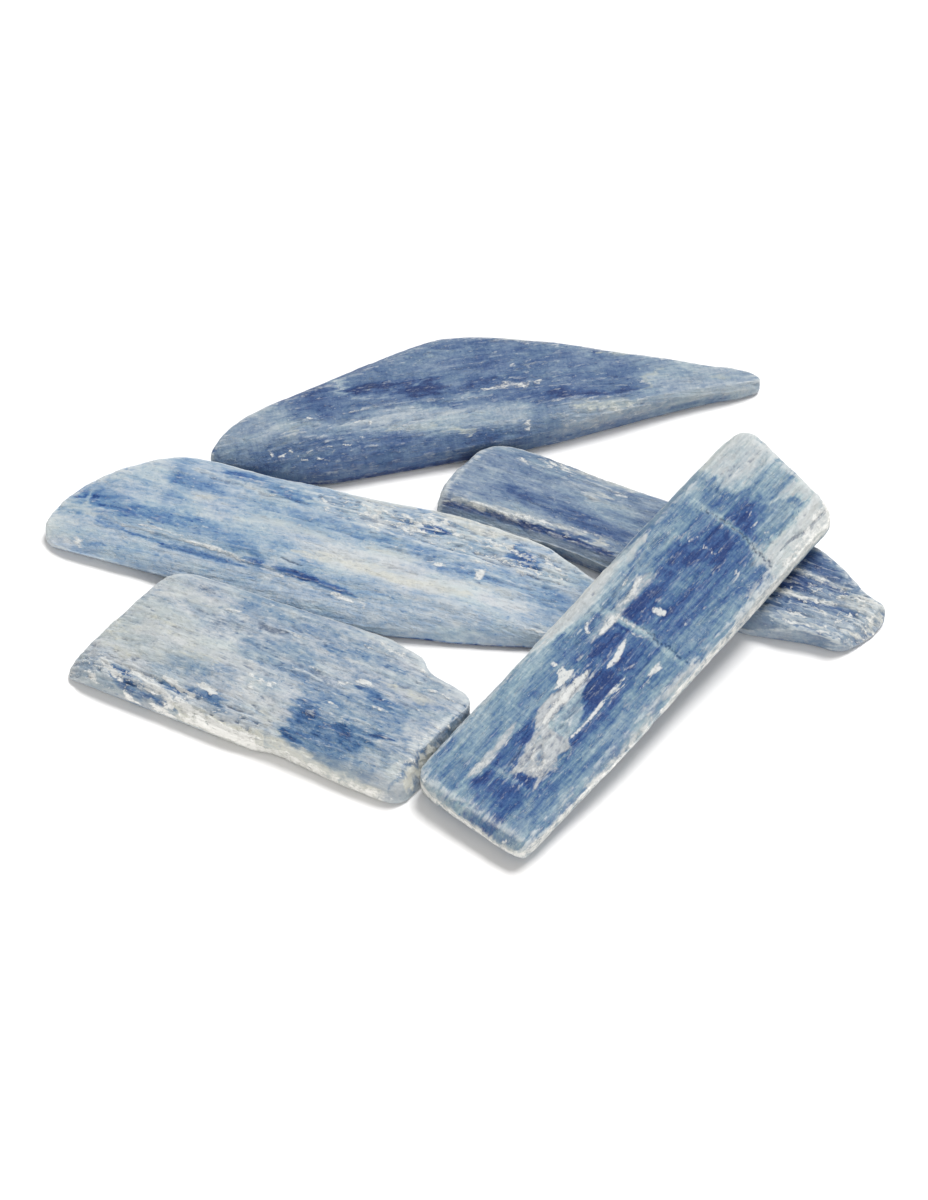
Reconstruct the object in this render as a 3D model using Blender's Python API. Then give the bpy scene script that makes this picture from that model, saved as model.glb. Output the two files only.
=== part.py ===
"""Kyanite blade cluster: five loose cleavage blades of blue kyanite.

Four blades lie flat, side by side. The fifth leans across two of them: one corner of its near
end stands on the table and its underside rests on the front edge of right_blade.

Each blade is designed in its own frame, in millimetres: +X along its length, +Y across it,
z = 0 on its underside. The outline is one smooth closed curve, extruded to the blade's
thickness with a worn, rounded rim, and its cleavage slopes, end faces and steps are cut off
it by large boxes. The origin of the whole part is the bottom centre of its box.
"""
import math

import bmesh
import bpy
from mathutils import Matrix, Vector

MM = 0.001

# --- driving dimensions, millimetres and degrees -------------------------------------------
BACK_THICK = 5.0
LEFT_THICK = 4.0
FRONT_THICK = 5.5
RIGHT_THICK = 3.5
CROSS_THICK = 4.2

# where each blade's own origin lies on the table, and how far its length is turned from +X
BACK_AT, BACK_TURN = (3.3, 28.7), 11.5
LEFT_AT, LEFT_TURN = (-17.0, 5.0), -16.0
FRONT_AT, FRONT_TURN = (-24.5, -16.5), -25.0
RIGHT_AT, RIGHT_TURN = (25.0, 8.6), -22.7
CROSS_AT, CROSS_TURN = (20.8, -12.0), 51.3

# the crossing blade's underside rises LEAN degrees towards the heading LEAN_HEADING
LEAN, LEAN_HEADING = 5.1, 68.0
CROSS_LIFT = 2.85          # height of its own origin over the table

WORN = 0.5                 # radius of the worn rim all round each outline
CUTTER = 110.0             # edge of a cutting box

NAME = "kyanite_blade_cluster"

# --- clean scene ---------------------------------------------------------------------------
for old in list(bpy.data.objects):
    bpy.data.objects.remove(old, do_unlink=True)

parts = bpy.data.collections.new(NAME)
cutters = bpy.data.collections.new("cutters")
bpy.context.scene.collection.children.link(parts)
bpy.context.scene.collection.children.link(cutters)

root = bpy.data.objects.new(NAME, None)
root.empty_display_size = 0.01
parts.objects.link(root)


def material(name, colour, roughness):
    mat = bpy.data.materials.new(name)
    mat.use_nodes = True
    bsdf = mat.node_tree.nodes["Principled BSDF"]
    bsdf.inputs["Base Color"].default_value = (*colour, 1.0)
    bsdf.inputs["Roughness"].default_value = roughness
    bsdf.inputs["Metallic"].default_value = 0.0
    return mat


def blade(name, outline, thick, mat, place):
    """One blade: a smooth closed outline through the given points, extruded to its thickness."""
    curve = bpy.data.curves.new(name + "_outline", "CURVE")
    curve.dimensions = "2D"
    curve.fill_mode = "BOTH"
    curve.extrude = (thick / 2 - WORN) * MM
    curve.bevel_depth = WORN * MM
    curve.bevel_resolution = 2
    curve.offset = -WORN * MM
    curve.resolution_u = 3
    spline = curve.splines.new("BEZIER")
    spline.bezier_points.add(len(outline) - 1)
    spline.use_cyclic_u = True
    for point, (x, y) in zip(spline.bezier_points, outline):
        point.co = (x * MM, y * MM, 0.0)
        point.handle_left_type = point.handle_right_type = "AUTO"
    drawn = bpy.data.objects.new(name + "_outline", curve)
    parts.objects.link(drawn)
    bpy.context.view_layer.update()
    mesh = bpy.data.meshes.new_from_object(drawn.evaluated_get(bpy.context.evaluated_depsgraph_get()))
    bpy.data.objects.remove(drawn, do_unlink=True)
    bm = bmesh.new()
    bm.from_mesh(mesh)
    bmesh.ops.remove_doubles(bm, verts=bm.verts, dist=1e-6)
    bmesh.ops.translate(bm, verts=bm.verts, vec=(0, 0, thick * MM / 2))
    bmesh.ops.recalc_face_normals(bm, faces=bm.faces)
    bm.to_mesh(mesh)
    bm.free()
    mesh.name = name
    mesh.materials.append(mat)
    made = bpy.data.objects.new(name, mesh)
    parts.objects.link(made)
    made.parent = root
    made.matrix_local = place
    return made


def slope(of, label, at, heading, tilt):
    """Cut off everything beyond a plane through the point at, in the blade's own frame.

    The plane falls towards heading; tilt is 0 for a level top, 90 for an upright end face and
    more than 90 for an undercut.
    """
    bpy.ops.mesh.primitive_cube_add(size=CUTTER * MM)
    box = bpy.context.object
    box.name = "cut_" + of.name + "_" + label
    for owner in list(box.users_collection):
        owner.objects.unlink(box)
    cutters.objects.link(box)
    turn = Matrix.Rotation(math.radians(heading), 4, "Z") @ Matrix.Rotation(math.radians(tilt), 4, "Y")
    normal = turn @ Vector((0, 0, 1))
    box.parent = of
    box.matrix_local = Matrix.Translation(Vector(at) * MM + normal * CUTTER * MM / 2) @ turn
    box.display_type = "WIRE"
    box.hide_render = True
    cut = of.modifiers.new(label, "BOOLEAN")
    cut.operation = "DIFFERENCE"
    cut.solver = "EXACT"
    cut.object = box


def step(of, label, at, size, heading, tilt=0.0):
    """Cut a cleavage step: a box of the given size, one corner at the point at."""
    bpy.ops.mesh.primitive_cube_add(size=1.0)
    box = bpy.context.object
    box.name = "cut_" + of.name + "_" + label
    for owner in list(box.users_collection):
        owner.objects.unlink(box)
    cutters.objects.link(box)
    bm = bmesh.new()
    bm.from_mesh(box.data)
    bmesh.ops.scale(bm, verts=bm.verts, vec=Vector(size) * MM)
    bmesh.ops.translate(bm, verts=bm.verts, vec=Vector(size) * MM / 2)
    bm.to_mesh(box.data)
    bm.free()
    box.parent = of
    box.matrix_local = (Matrix.Translation(Vector(at) * MM)
                        @ Matrix.Rotation(math.radians(heading), 4, "Z")
                        @ Matrix.Rotation(math.radians(tilt), 4, "Y"))
    box.display_type = "WIRE"
    box.hide_render = True
    cut = of.modifiers.new(label, "BOOLEAN")
    cut.operation = "DIFFERENCE"
    cut.solver = "EXACT"
    cut.object = box


def lying(at, turn):
    return (Matrix.Translation((at[0] * MM, at[1] * MM, 0.0))
            @ Matrix.Rotation(math.radians(turn), 4, "Z"))


steel_blue = material("back_kyanite", (0.16, 0.25, 0.42), 0.45)
pale_blue = material("left_kyanite", (0.34, 0.45, 0.58), 0.45)
grey_blue = material("front_kyanite", (0.38, 0.47, 0.56), 0.5)
slate_blue = material("right_kyanite", (0.22, 0.31, 0.46), 0.45)
deep_blue = material("cross_kyanite", (0.12, 0.24, 0.46), 0.4)

# --- back_blade: a long leaf, straight in front and bowed behind ----------------------------
back = blade("back_blade", [
    (-37.3, 1.2), (-36.0, 3.0), (-33.5, 5.0), (-28.5, 7.1), (-21.5, 9.4), (-13.5, 12.4),
    (-8.0, 13.9), (-2.5, 14.2), (3.5, 13.1), (11.0, 10.7), (18.0, 8.3), (25.0, 6.2),
    (31.0, 4.2), (35.5, 2.8), (37.2, 1.6), (37.3, 0.4), (35.5, -0.4), (30.0, -0.7),
    (24.5, -1.3), (14.0, -2.8), (7.5, -3.7), (-6.5, -4.3), (-18.5, -4.7), (-25.0, -4.4),
    (-30.0, -2.4), (-34.0, -0.3), (-36.8, 0.7),
], BACK_THICK, steel_blue, lying(BACK_AT, BACK_TURN))
slope(back, "tip_slope", (11.0, 0.0, BACK_THICK), 0.0, 6.2)
slope(back, "tail_slope", (-25.0, 0.0, BACK_THICK), 180.0, 6.0)
slope(back, "front_fall", (0.0, -0.6, BACK_THICK), -87.5, 18.0)
slope(back, "front_roll", (0.0, -2.7, 4.3), -88.0, 42.0)
slope(back, "front_roll_low", (0.0, -4.0, 3.1), -88.5, 64.0)
slope(back, "front_undercut", (0.0, -4.5, 1.0), -88.5, 118.0)
slope(back, "rear_roll", (-17.0, 9.9, BACK_THICK), 107.0, 32.0)
slope(back, "tail_roll", (-29.5, 1.2, 4.35), -114.0, 30.0)
slope(back, "tail_roll_low", (-30.6, -1.2, 2.85), -114.0, 60.0)

# --- left_blade: the longest, thick along its back edge and feathering out to its tip --------
left = blade("left_blade", [
    (-37.8, -4.0), (-37.2, -1.4), (-35.8, 1.4), (-32.6, 4.9), (-27.0, 9.1), (-24.3, 10.9),
    (-21.0, 11.6), (-15.0, 11.2), (-9.5, 10.8), (-6.5, 11.3), (-1.0, 10.8), (6.0, 11.0),
    (12.5, 11.3), (17.5, 10.6), (21.5, 10.0), (25.5, 9.5), (29.0, 8.2), (33.0, 6.6),
    (38.0, 3.5), (41.3, 0.2), (41.0, -1.8), (37.0, -3.4), (31.0, -5.0), (25.0, -6.5),
    (18.0, -7.9), (12.5, -8.6), (8.0, -9.6), (0.0, -10.1), (-10.0, -9.8), (-20.0, -9.0),
    (-27.5, -8.0), (-34.0, -7.4), (-37.0, -6.2),
], LEFT_THICK, pale_blue, lying(LEFT_AT, LEFT_TURN))
slope(left, "front_slope", (-9.0, -2.2, LEFT_THICK), -95.6, 15.0)
slope(left, "feather_tip", (19.0, 5.0, LEFT_THICK), -6.0, 8.2)
slope(left, "left_tip", (-28.5, 1.0, LEFT_THICK), 196.0, 9.0)
slope(left, "rear_rim", (10.0, 8.9, LEFT_THICK), 90.0, 24.0)
slope(left, "front_roll", (-15.0, -7.6, 2.4), -94.5, 35.0)
slope(left, "front_roll_right", (20.0, -5.3, 3.7), -78.0, 35.0)
slope(left, "front_roll_right_low", (20.2, -6.4, 2.9), -78.0, 60.0)
slope(left, "front_undercut", (0.0, -8.9, 1.0), -93.0, 126.0)
step(left, "splinter_step", (-9.0, 6.6, LEFT_THICK), (45.0, 12.0, 3.0), -5.0, 1.3)

# --- front_blade: short and wide, with a slanted right end ----------------------------------
front = blade("front_blade", [
    (-24.8, -7.8), (-24.4, -4.8), (-23.2, -1.6), (-21.5, 3.0), (-20.2, 7.0), (-18.6, 9.8),
    (-15.5, 10.9), (-3.0, 11.5), (8.5, 12.2), (11.8, 12.0), (14.2, 11.2), (16.5, 10.5),
    (18.2, 8.9), (21.5, 8.2), (24.2, 7.3), (25.1, 5.5), (24.6, -1.0), (23.6, -5.0),
    (22.0, -8.2), (18.5, -8.8), (13.0, -8.6), (8.0, -8.1), (4.0, -7.9), (0.0, -8.8),
    (-10.0, -8.6), (-18.0, -8.6), (-22.8, -8.7),
], FRONT_THICK, grey_blue, lying(FRONT_AT, FRONT_TURN))
slope(front, "front_slope", (0.0, -2.5, FRONT_THICK), -92.0, 21.0)
slope(front, "front_roll", (0.0, -7.3, 3.65), -91.0, 46.0)
slope(front, "front_undercut", (0.0, -8.7, 1.0), -91.0, 116.0)
slope(front, "left_slope", (-15.0, 0.0, FRONT_THICK), 196.0, 12.0)
slope(front, "left_roll", (-21.8, -5.0, 3.8), 190.0, 32.0)
slope(front, "corner_roll", (-22.5, -7.0, 2.6), -135.0, 40.0)
slope(front, "end_face", (22.8, -0.8, FRONT_THICK), -15.5, 73.0)
slope(front, "rear_roll", (0.0, 10.4, FRONT_THICK), 91.0, 30.0)

# --- right_blade: flat, its straight front edge carries the crossing blade -------------------
right = blade("right_blade", [
    (-28.4, -5.9), (-28.7, -4.0), (-28.5, -0.5), (-27.5, 2.6), (-26.4, 5.3), (-24.5, 6.9),
    (-21.0, 7.5), (-17.5, 7.3), (-10.5, 6.6), (-2.0, 5.9), (9.0, 5.9), (18.5, 6.1),
    (22.8, 4.8), (26.0, 2.9), (28.7, 1.3), (31.3, 0.3), (31.4, -1.5), (29.6, -5.8),
    (27.6, -7.5), (25.0, -7.6), (19.5, -8.6), (14.5, -9.4), (7.0, -8.7), (-2.0, -7.3),
    (-12.0, -6.3), (-27.3, -6.3),
], RIGHT_THICK, slate_blue, lying(RIGHT_AT, RIGHT_TURN))
slope(right, "tip_slope", (17.0, 0.0, RIGHT_THICK), 0.0, 4.0)
slope(right, "tip_face", (29.6, -2.5, RIGHT_THICK - 0.8), -24.0, 55.0)
slope(right, "rear_rim", (0.0, 5.2, RIGHT_THICK), 92.0, 16.0)
slope(right, "front_roll", (-20.0, -4.6, RIGHT_THICK), -94.2, 44.0)

# --- crossing_blade: a long block with square ends, leaning ---------------------------------
lean_axis = Vector((math.sin(math.radians(LEAN_HEADING)), -math.cos(math.radians(LEAN_HEADING)), 0.0))
leaning = (Matrix.Translation((CROSS_AT[0] * MM, CROSS_AT[1] * MM, CROSS_LIFT * MM))
           @ Matrix.Rotation(math.radians(LEAN), 4, lean_axis)
           @ Matrix.Rotation(math.radians(CROSS_TURN), 4, "Z"))
cross = blade("crossing_blade", [
    (-33.1, -6.2), (-33.0, -2.0), (-32.7, 3.5), (-32.2, 6.8), (-31.1, 8.6), (-28.8, 8.9),
    (-15.0, 8.9), (2.0, 9.2), (15.0, 9.5), (20.5, 10.2), (25.0, 10.4), (31.5, 9.6),
    (34.2, 8.9), (35.7, 7.9), (36.0, 6.2), (35.2, 3.0), (34.0, -2.0), (33.2, -5.0),
    (32.9, -7.2), (31.6, -8.5), (28.5, -8.6), (20.0, -8.9), (12.0, -9.1), (2.0, -9.2),
    (-14.5, -9.6), (-24.0, -9.1), (-30.8, -8.7), (-32.6, -8.0),
], CROSS_THICK, deep_blue, leaning)
slope(cross, "near_roll", (-31.6, 0.0, CROSS_THICK), 181.0, 38.0)
slope(cross, "near_undercut", (-33.0, 0.0, 1.9), 181.0, 133.0)
slope(cross, "right_roll", (0.0, -8.5, CROSS_THICK), -90.5, 42.0)
slope(cross, "right_undercut", (0.0, -9.3, 1.9), -90.5, 122.0)
slope(cross, "far_facet", (27.0, -6.6, CROSS_THICK), -80.0, 38.0)
slope(cross, "left_roll", (0.0, 8.6, CROSS_THICK), 89.5, 40.0)
slope(cross, "left_undercut", (0.0, 9.2, 2.6), 89.5, 124.0)

# --- put the origin at the bottom centre of the whole cluster's box --------------------------
bpy.context.view_layer.update()
graph = bpy.context.evaluated_depsgraph_get()
low = Vector((1.0, 1.0, 1.0))
high = -low
for made in (back, left, front, right, cross):
    shape = made.evaluated_get(graph)
    for vertex in shape.data.vertices:
        at = shape.matrix_world @ vertex.co
        low = Vector(map(min, low, at))
        high = Vector(map(max, high, at))
root.location = (-(low.x + high.x) / 2, -(low.y + high.y) / 2, -low.z)
bpy.context.view_layer.update()
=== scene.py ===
"""Kyanite blade cluster: the looks.

Each blade is a fine copy of its CAD solid, worked in the blade's own frame, in millimetres:
x along its length, y across it, z = 0 on its underside. Kyanite cleaves along its length, so
nearly all of the detail is drawn out along x. The copy is remeshed with voxels that are longer
in x than in y and z, its cut edges are worn round, and its striae, cleavage steps, splinters,
cross fractures and chips are carved into it. The marks that belong to one blade only, such as
its bands, cream inclusions and cracks, are laid along spines given in that frame.
"""
import math

import bmesh
import bpy
import numpy as np
from mathutils import Matrix, Vector


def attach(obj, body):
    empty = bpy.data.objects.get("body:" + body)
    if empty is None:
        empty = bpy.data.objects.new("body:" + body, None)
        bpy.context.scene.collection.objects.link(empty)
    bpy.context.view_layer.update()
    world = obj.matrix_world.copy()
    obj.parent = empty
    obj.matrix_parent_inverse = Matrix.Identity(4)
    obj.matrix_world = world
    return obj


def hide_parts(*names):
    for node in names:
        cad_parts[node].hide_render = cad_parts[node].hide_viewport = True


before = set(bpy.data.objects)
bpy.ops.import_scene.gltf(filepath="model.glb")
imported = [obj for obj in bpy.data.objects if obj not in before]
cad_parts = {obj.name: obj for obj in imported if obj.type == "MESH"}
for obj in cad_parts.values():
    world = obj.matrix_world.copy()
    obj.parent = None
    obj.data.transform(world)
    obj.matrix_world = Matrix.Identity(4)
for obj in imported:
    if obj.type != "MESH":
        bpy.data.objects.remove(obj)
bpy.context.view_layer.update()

MM = 0.001
ROOT = (0.2942, 0.1349, 0.0)        # where the CAD's own layout origin lies, in millimetres


# --- the camera ------------------------------------------------------------------------------
ELEVATION = math.radians(50.0)
DISTANCE = 550.0
look_at = Vector((ROOT[0], ROOT[1], 0.0)) * MM
towards = Vector((0.0, -math.cos(ELEVATION), math.sin(ELEVATION)))
cam_data = bpy.data.cameras.new("camera")
cam = bpy.data.objects.new("camera", cam_data)
bpy.context.scene.collection.objects.link(cam)
cam.location = look_at + towards * DISTANCE * MM
cam.rotation_mode = "QUATERNION"
cam.rotation_quaternion = (-towards).to_track_quat("-Z", "Y")
cam_data.sensor_width = 36.0
cam_data.lens = 127.9
cam_data.clip_start, cam_data.clip_end = 0.01, 20.0
cam_data.dof.use_dof = False
bpy.context.scene.camera = cam


# --- repeatable noise ------------------------------------------------------------------------
def scramble(ix, iy, seed):
    """One repeatable 32-bit number for each whole-number place."""
    n = (ix.astype(np.int64) * 374761393 + iy.astype(np.int64) * 668265263
         + seed * 974634777) & 0xFFFFFFFF
    n = ((n ^ (n >> 13)) * 1274126177) & 0xFFFFFFFF
    n = ((n ^ (n >> 16)) * 2246822519) & 0xFFFFFFFF
    return n ^ (n >> 15)


def noise(x, y, seed):
    """Gradient noise, about -1 to 1, one unit between its places."""
    x0, y0 = np.floor(x), np.floor(y)
    fx, fy = x - x0, y - y0
    sx = fx * fx * fx * (fx * (fx * 6 - 15) + 10)
    sy = fy * fy * fy * (fy * (fy * 6 - 15) + 10)

    def corner(dx, dy):
        turn = scramble(x0 + dx, y0 + dy, seed) * (2 * math.pi / 4294967296.0)
        return np.cos(turn) * (fx - dx) + np.sin(turn) * (fy - dy)

    low = corner(0, 0) * (1 - sx) + corner(1, 0) * sx
    high = corner(0, 1) * (1 - sx) + corner(1, 1) * sx
    return (low * (1 - sy) + high * sy) * 1.5


def fractal(x, y, seed, octaves=4, rough=0.5):
    total, size, norm = 0.0, 1.0, 0.0
    for k in range(octaves):
        total = total + noise(x * 2 ** k, y * 2 ** k, seed + 17 * k) * size
        norm += size
        size *= rough
    return total / norm


def ramp(lo, hi, v):
    t = np.clip((v - lo) / (hi - lo), 0.0, 1.0)
    return t * t * (3 - 2 * t)


# --- one blade's surface ---------------------------------------------------------------------
class Skin:
    """The vertices of one blade in its own frame, and the fields that are laid on them.

    tone runs from 0, pale grey-blue, to 1, navy, and in places it also carries painted shade. cream and
    chalk are the pale inclusions and the white splinters, with a few painted glints and some painted
    light on the sides among them, dark is cracks and pits, with a few painted shadows among them, rough
    is broken ground, and relief is height over the CAD surface in millimetres.
    """

    def __init__(self, co, normal, seed):
        self.x, self.y, self.z = co[:, 0].copy(), co[:, 1].copy(), co[:, 2].copy()
        self.n = normal
        self.seed = seed
        self.top = ramp(0.25, 0.70, normal[:, 2])
        self.under = ramp(0.25, 0.70, -normal[:, 2])
        self.side = 1.0 - self.top - self.under
        self.upper = ramp(-0.30, 0.10, normal[:, 2])
        many = len(co)
        self.tone = np.full(many, 0.3)
        self.cream = np.zeros(many)
        self.chalk = np.zeros(many)
        self.dark = np.zeros(many)
        self.rough = np.zeros(many)
        self.relief = np.zeros(many)
        x, y, z = self.x, self.y, self.z
        # the marks' own wander, long in x, and the fibres and crumbs that fray them
        self.wx = x + 0.9 * noise(x * 0.30, y * 1.1, seed + 1) + 0.5 * noise(x * 0.9, y * 3.1, seed + 2)
        self.wy = y + 0.20 * noise(x * 0.16, y * 0.5, seed + 3) + 0.12 * noise(x * 0.6, y * 2.0, seed + 4)
        self.fx = (x + 2.2 * noise(x * 0.15, y * 1.15, seed + 10) + 1.2 * noise(x * 0.5, y * 2.9, seed + 12)
                   + 0.5 * noise(x * 1.1, y * 1.3, seed + 13))
        self.fy = (y + 0.30 * noise(x * 0.12, y * 0.4, seed + 14) + 0.22 * noise(x * 0.5, y * 1.3, seed + 15)
                   + 0.12 * noise(x * 1.4, y * 2.2, seed + 16))
        self.fibre = fractal(x * 0.22, (y + 0.35 * z) * 1.5, seed + 5, 4, 0.62)
        self.grit = fractal(x * 0.9, (y + 0.5 * z) * 2.2, seed + 6, 3, 0.6)
        self.crumb = fractal(x * 0.45, (y + 0.5 * z) * 0.95, seed + 7, 5, 0.62)
        self.cloud = fractal(x * 0.07, (y + 0.5 * z) * 0.26, seed + 8, 3, 0.5)

    def spine(self, pts, width, lens, fray, wander):
        """How many half-widths each vertex lies from the spine through pts."""
        if wander == "fingers":
            x, y = self.fx, self.fy
        else:
            x = self.x + (self.wx - self.x) * wander
            y = self.y + (self.wy - self.y) * wander
        best = np.full(len(x), 1e9)
        along = np.zeros(len(x))
        sizes = [math.dist(a, b) for a, b in zip(pts[:-1], pts[1:])]
        whole = sum(sizes)
        done = 0.0
        for (ax, ay), (bx, by), size in zip(pts[:-1], pts[1:], sizes):
            t = np.clip(((x - ax) * (bx - ax) + (y - ay) * (by - ay)) / max(size * size, 1e-9), 0, 1)
            d = np.hypot(x - ax - t * (bx - ax), y - ay - t * (by - ay))
            closer = d < best
            best = np.where(closer, d, best)
            along = np.where(closer, (done + t * size) / whole, along)
            done += size
        half = width / 2
        if lens:
            half = half * (0.25 + 0.75 * np.sqrt(np.clip(4 * along * (1 - along), 0, 1)))
        return best / half + fray * (0.8 * self.fibre + 1.1 * self.crumb)

    def near(self, pts, width, lens=True, fray=0.5, wander=1.0, soft=0.5):
        """1 on the spine, 0 beyond about half of width, ragged; soft is the edge's share of it."""
        return ramp(1.0 + soft, 1.0 - soft, self.spine(pts, width, lens, fray, wander)) * self.upper

    def tint(self, tone, much, width, *pts, **how):
        """Draws the tone towards the one given along a spine."""
        m = self.near(pts, width, **{"fray": 0.9, "soft": 0.72, "wander": "fingers", **how}) * much
        self.tone = self.tone * (1 - m) + tone * m

    def lay(self, field, much, width, *pts, **how):
        """Adds to cream, chalk, dark or rough along a spine."""
        if field == "cream":
            how = {"fray": 0.9, "soft": 0.85, "wander": "fingers", **how}
        elif field == "rough":
            how = {"fray": 0.6, "soft": 0.8, **how}
        else:
            how = {"fray": 0.7, "soft": 0.9, **how}
        m = self.near(pts, width * {"rough": 1.0, "cream": 1.3}.get(field, 1.15), **how) * much
        setattr(self, field, np.maximum(getattr(self, field), m))
        if field in ("chalk", "cream"):
            self.relief += m * (0.09 * self.crumb + 0.07 * self.grit - 0.02)

    def groove(self, deep, width, *pts, **how):
        how = {"fray": 0.2, "wander": 0.5, **how}
        m = self.near(pts, width, **how)
        self.relief -= deep * m
        self.dark = np.maximum(self.dark, 0.75 * m * min(1.0, deep / 0.08))

    def heap(self, high, width, *pts, **how):
        """Raises or, where high is negative, sinks the surface along a spine."""
        self.relief += high * self.near(pts, width, **how)

    def foot(self, tone, much, low, high, first=-99.0, last=99.0):
        """Draws the tone of the front side towards the one given near the table, from first to last. Where that tone is
        dark, it is painted shade along the foot of the side.
        """
        m = (ramp(high, low, self.z + 0.35 * self.crumb + 0.25 * self.fibre) * ramp(0.15, 0.6, -self.n[:, 1])
             * ramp(first - 2, first + 2, self.x) * ramp(last + 2, last - 2, self.x) * much)
        self.tone = self.tone * (1 - m) + tone * m
        self.cream *= 1 - m
        self.chalk *= 1 - m

    def area(self, pts, soft=0.35, fray=0.55, warp=1.0):
        """1 inside a closed outline, 0 outside it, ragged along its edge."""
        x = self.x + (self.fx - self.x) * warp * 0.45
        y = self.y + (self.fy - self.y) * warp
        far = np.full(len(x), 1e9)
        inside = np.zeros(len(x), bool)
        for (ax, ay), (bx, by) in zip(pts, pts[1:] + pts[:1]):
            size = max((bx - ax) ** 2 + (by - ay) ** 2, 1e-9)
            t = np.clip(((x - ax) * (bx - ax) + (y - ay) * (by - ay)) / size, 0, 1)
            far = np.minimum(far, np.hypot(x - ax - t * (bx - ax), y - ay - t * (by - ay)))
            if ay != by:
                inside ^= ((ay > y) != (by > y)) & (x < (bx - ax) * (y - ay) / (by - ay) + ax)
        signed = np.where(inside, far, -far) + fray * (0.45 * self.fibre + 0.75 * self.crumb)
        return ramp(-soft, soft, signed) * self.upper

    def wash(self, tone, much, *pts, **how):
        """Draws the tone towards the one given inside an outline."""
        m = self.area(list(pts), **{"soft": 0.55, **how}) * much
        self.tone = self.tone * (1 - m) + tone * m

    def blot(self, field, much, *pts, **how):
        """Adds to cream, chalk, dark or rough inside an outline."""
        m = self.area(list(pts), **how) * much
        setattr(self, field, np.maximum(getattr(self, field), m))
        if field in ("chalk", "cream"):
            self.relief += m * (0.09 * self.crumb + 0.07 * self.grit - 0.02)

    def flank(self, field, much, low, high, first, last, heading=-90.0, fray=0.5):
        """Adds to a field on a side that faces heading, between two heights, from x first to last. The cream and white
        laid so stand partly for painted light on the side.
        """
        face = -self.n[:, 1] if heading == -90.0 else (self.n[:, 0] * math.cos(math.radians(heading))
                                                       + self.n[:, 1] * math.sin(math.radians(heading)))
        z = self.z + fray * (0.8 * self.crumb + 0.5 * self.grit)
        middle, half = (low + high) / 2, (high - low) / 2
        m = (ramp(1.25, 0.7, np.abs(z - middle) / half) * ramp(0.10, 0.40, face)
             * ramp(first - 1.2, first + 1.2, self.fx) * ramp(last + 1.2, last - 1.2, self.fx) * much)
        setattr(self, field, np.maximum(getattr(self, field), m))

    def ledge(self, deep, fade, *pts, left=True):
        """A cleavage step along a spine: the ground falls on one side and climbs back slowly. White is painted along
        its edge, partly as white splinters and partly as painted highlight where the edge catches the light.
        """
        x, y = self.wx * 0.4 + self.x * 0.6, self.wy
        best = np.full(len(x), 1e9)
        sign = np.ones(len(x))
        along = np.zeros(len(x))
        sizes = [math.dist(a, b) for a, b in zip(pts[:-1], pts[1:])]
        whole, done = sum(sizes), 0.0
        for (ax, ay), (bx, by), size in zip(pts[:-1], pts[1:], sizes):
            t = np.clip(((x - ax) * (bx - ax) + (y - ay) * (by - ay)) / (size * size), 0, 1)
            dx, dy = x - ax - t * (bx - ax), y - ay - t * (by - ay)
            d = np.hypot(dx, dy)
            closer = d < best
            best = np.where(closer, d, best)
            sign = np.where(closer, np.sign((bx - ax) * dy - (by - ay) * dx), sign)
            along = np.where(closer, (done + t * size) / whole, along)
            done += size
        signed = best * sign * (1 if left else -1) + 0.14 * self.fibre + 0.10 * self.crumb
        ends = ramp(0.0, 0.12, along) * ramp(1.0, 0.88, along)
        low = ramp(-0.06, 0.10, signed) * np.exp(-np.maximum(signed, 0) / fade)
        near_it = ramp(fade * 2.5, 0.0, best)
        self.relief -= deep * low * ends * near_it * self.upper
        broken = ramp(-0.25, 0.45, noise(self.x * 0.35, self.y * 0.4, self.seed + 9))
        self.chalk = np.maximum(self.chalk, 0.55 * np.exp(-(signed / 0.16) ** 2) * ends * self.upper
                                * min(1.0, deep / 0.15) * broken)


def neighbours(edges, many):
    """What an average over each vertex's neighbours needs."""
    a = np.concatenate((edges[:, 0], edges[:, 1]))
    b = np.concatenate((edges[:, 1], edges[:, 0]))
    count = np.bincount(a, minlength=many).astype(float)
    return a, b, np.maximum(count, 1)


def mean_of(values, links):
    a, b, count = links
    if values.ndim == 1:
        return np.bincount(a, weights=values[b], minlength=len(count)) / count
    return np.stack([np.bincount(a, weights=values[b, k], minlength=len(count)) / count
                     for k in range(values.shape[1])], 1)


def coordinates(mesh):
    co = np.empty(len(mesh.vertices) * 3, np.float32)
    mesh.vertices.foreach_get("co", co)
    return co.reshape(-1, 3).astype(float)


def normals(mesh):
    mesh.update()
    n = np.empty(len(mesh.vertices) * 3, np.float32)
    mesh.vertex_normals.foreach_get("vector", n)
    return n.reshape(-1, 3).astype(float)


def blank(node, place, squeeze, voxel):
    """The CAD solid in the blade's frame, in millimetres, as a fine even mesh.

    x is squeezed while it is remeshed, so each voxel is longer along the blade than across it.
    """
    co_world = place.inverted()
    bm = bmesh.new()
    bm.from_mesh(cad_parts[node].data)
    bmesh.ops.remove_doubles(bm, verts=bm.verts, dist=1e-7)
    bmesh.ops.transform(bm, matrix=Matrix.Diagonal((squeeze / MM, 1 / MM, 1 / MM, 1.0)) @ co_world,
                        verts=bm.verts)
    rough_cut = bpy.data.meshes.new(node + "_blank")
    bm.to_mesh(rough_cut)
    bm.free()
    holder = bpy.data.objects.new(node + "_blank", rough_cut)
    bpy.context.scene.collection.objects.link(holder)
    remesh = holder.modifiers.new("voxels", "REMESH")
    remesh.mode = "VOXEL"
    remesh.voxel_size = voxel
    remesh.adaptivity = 0.0
    bpy.context.view_layer.update()
    graph = bpy.context.evaluated_depsgraph_get()
    mesh = bpy.data.meshes.new_from_object(holder.evaluated_get(graph))
    bpy.data.objects.remove(holder, do_unlink=True)
    bpy.data.meshes.remove(rough_cut)
    return mesh


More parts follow.
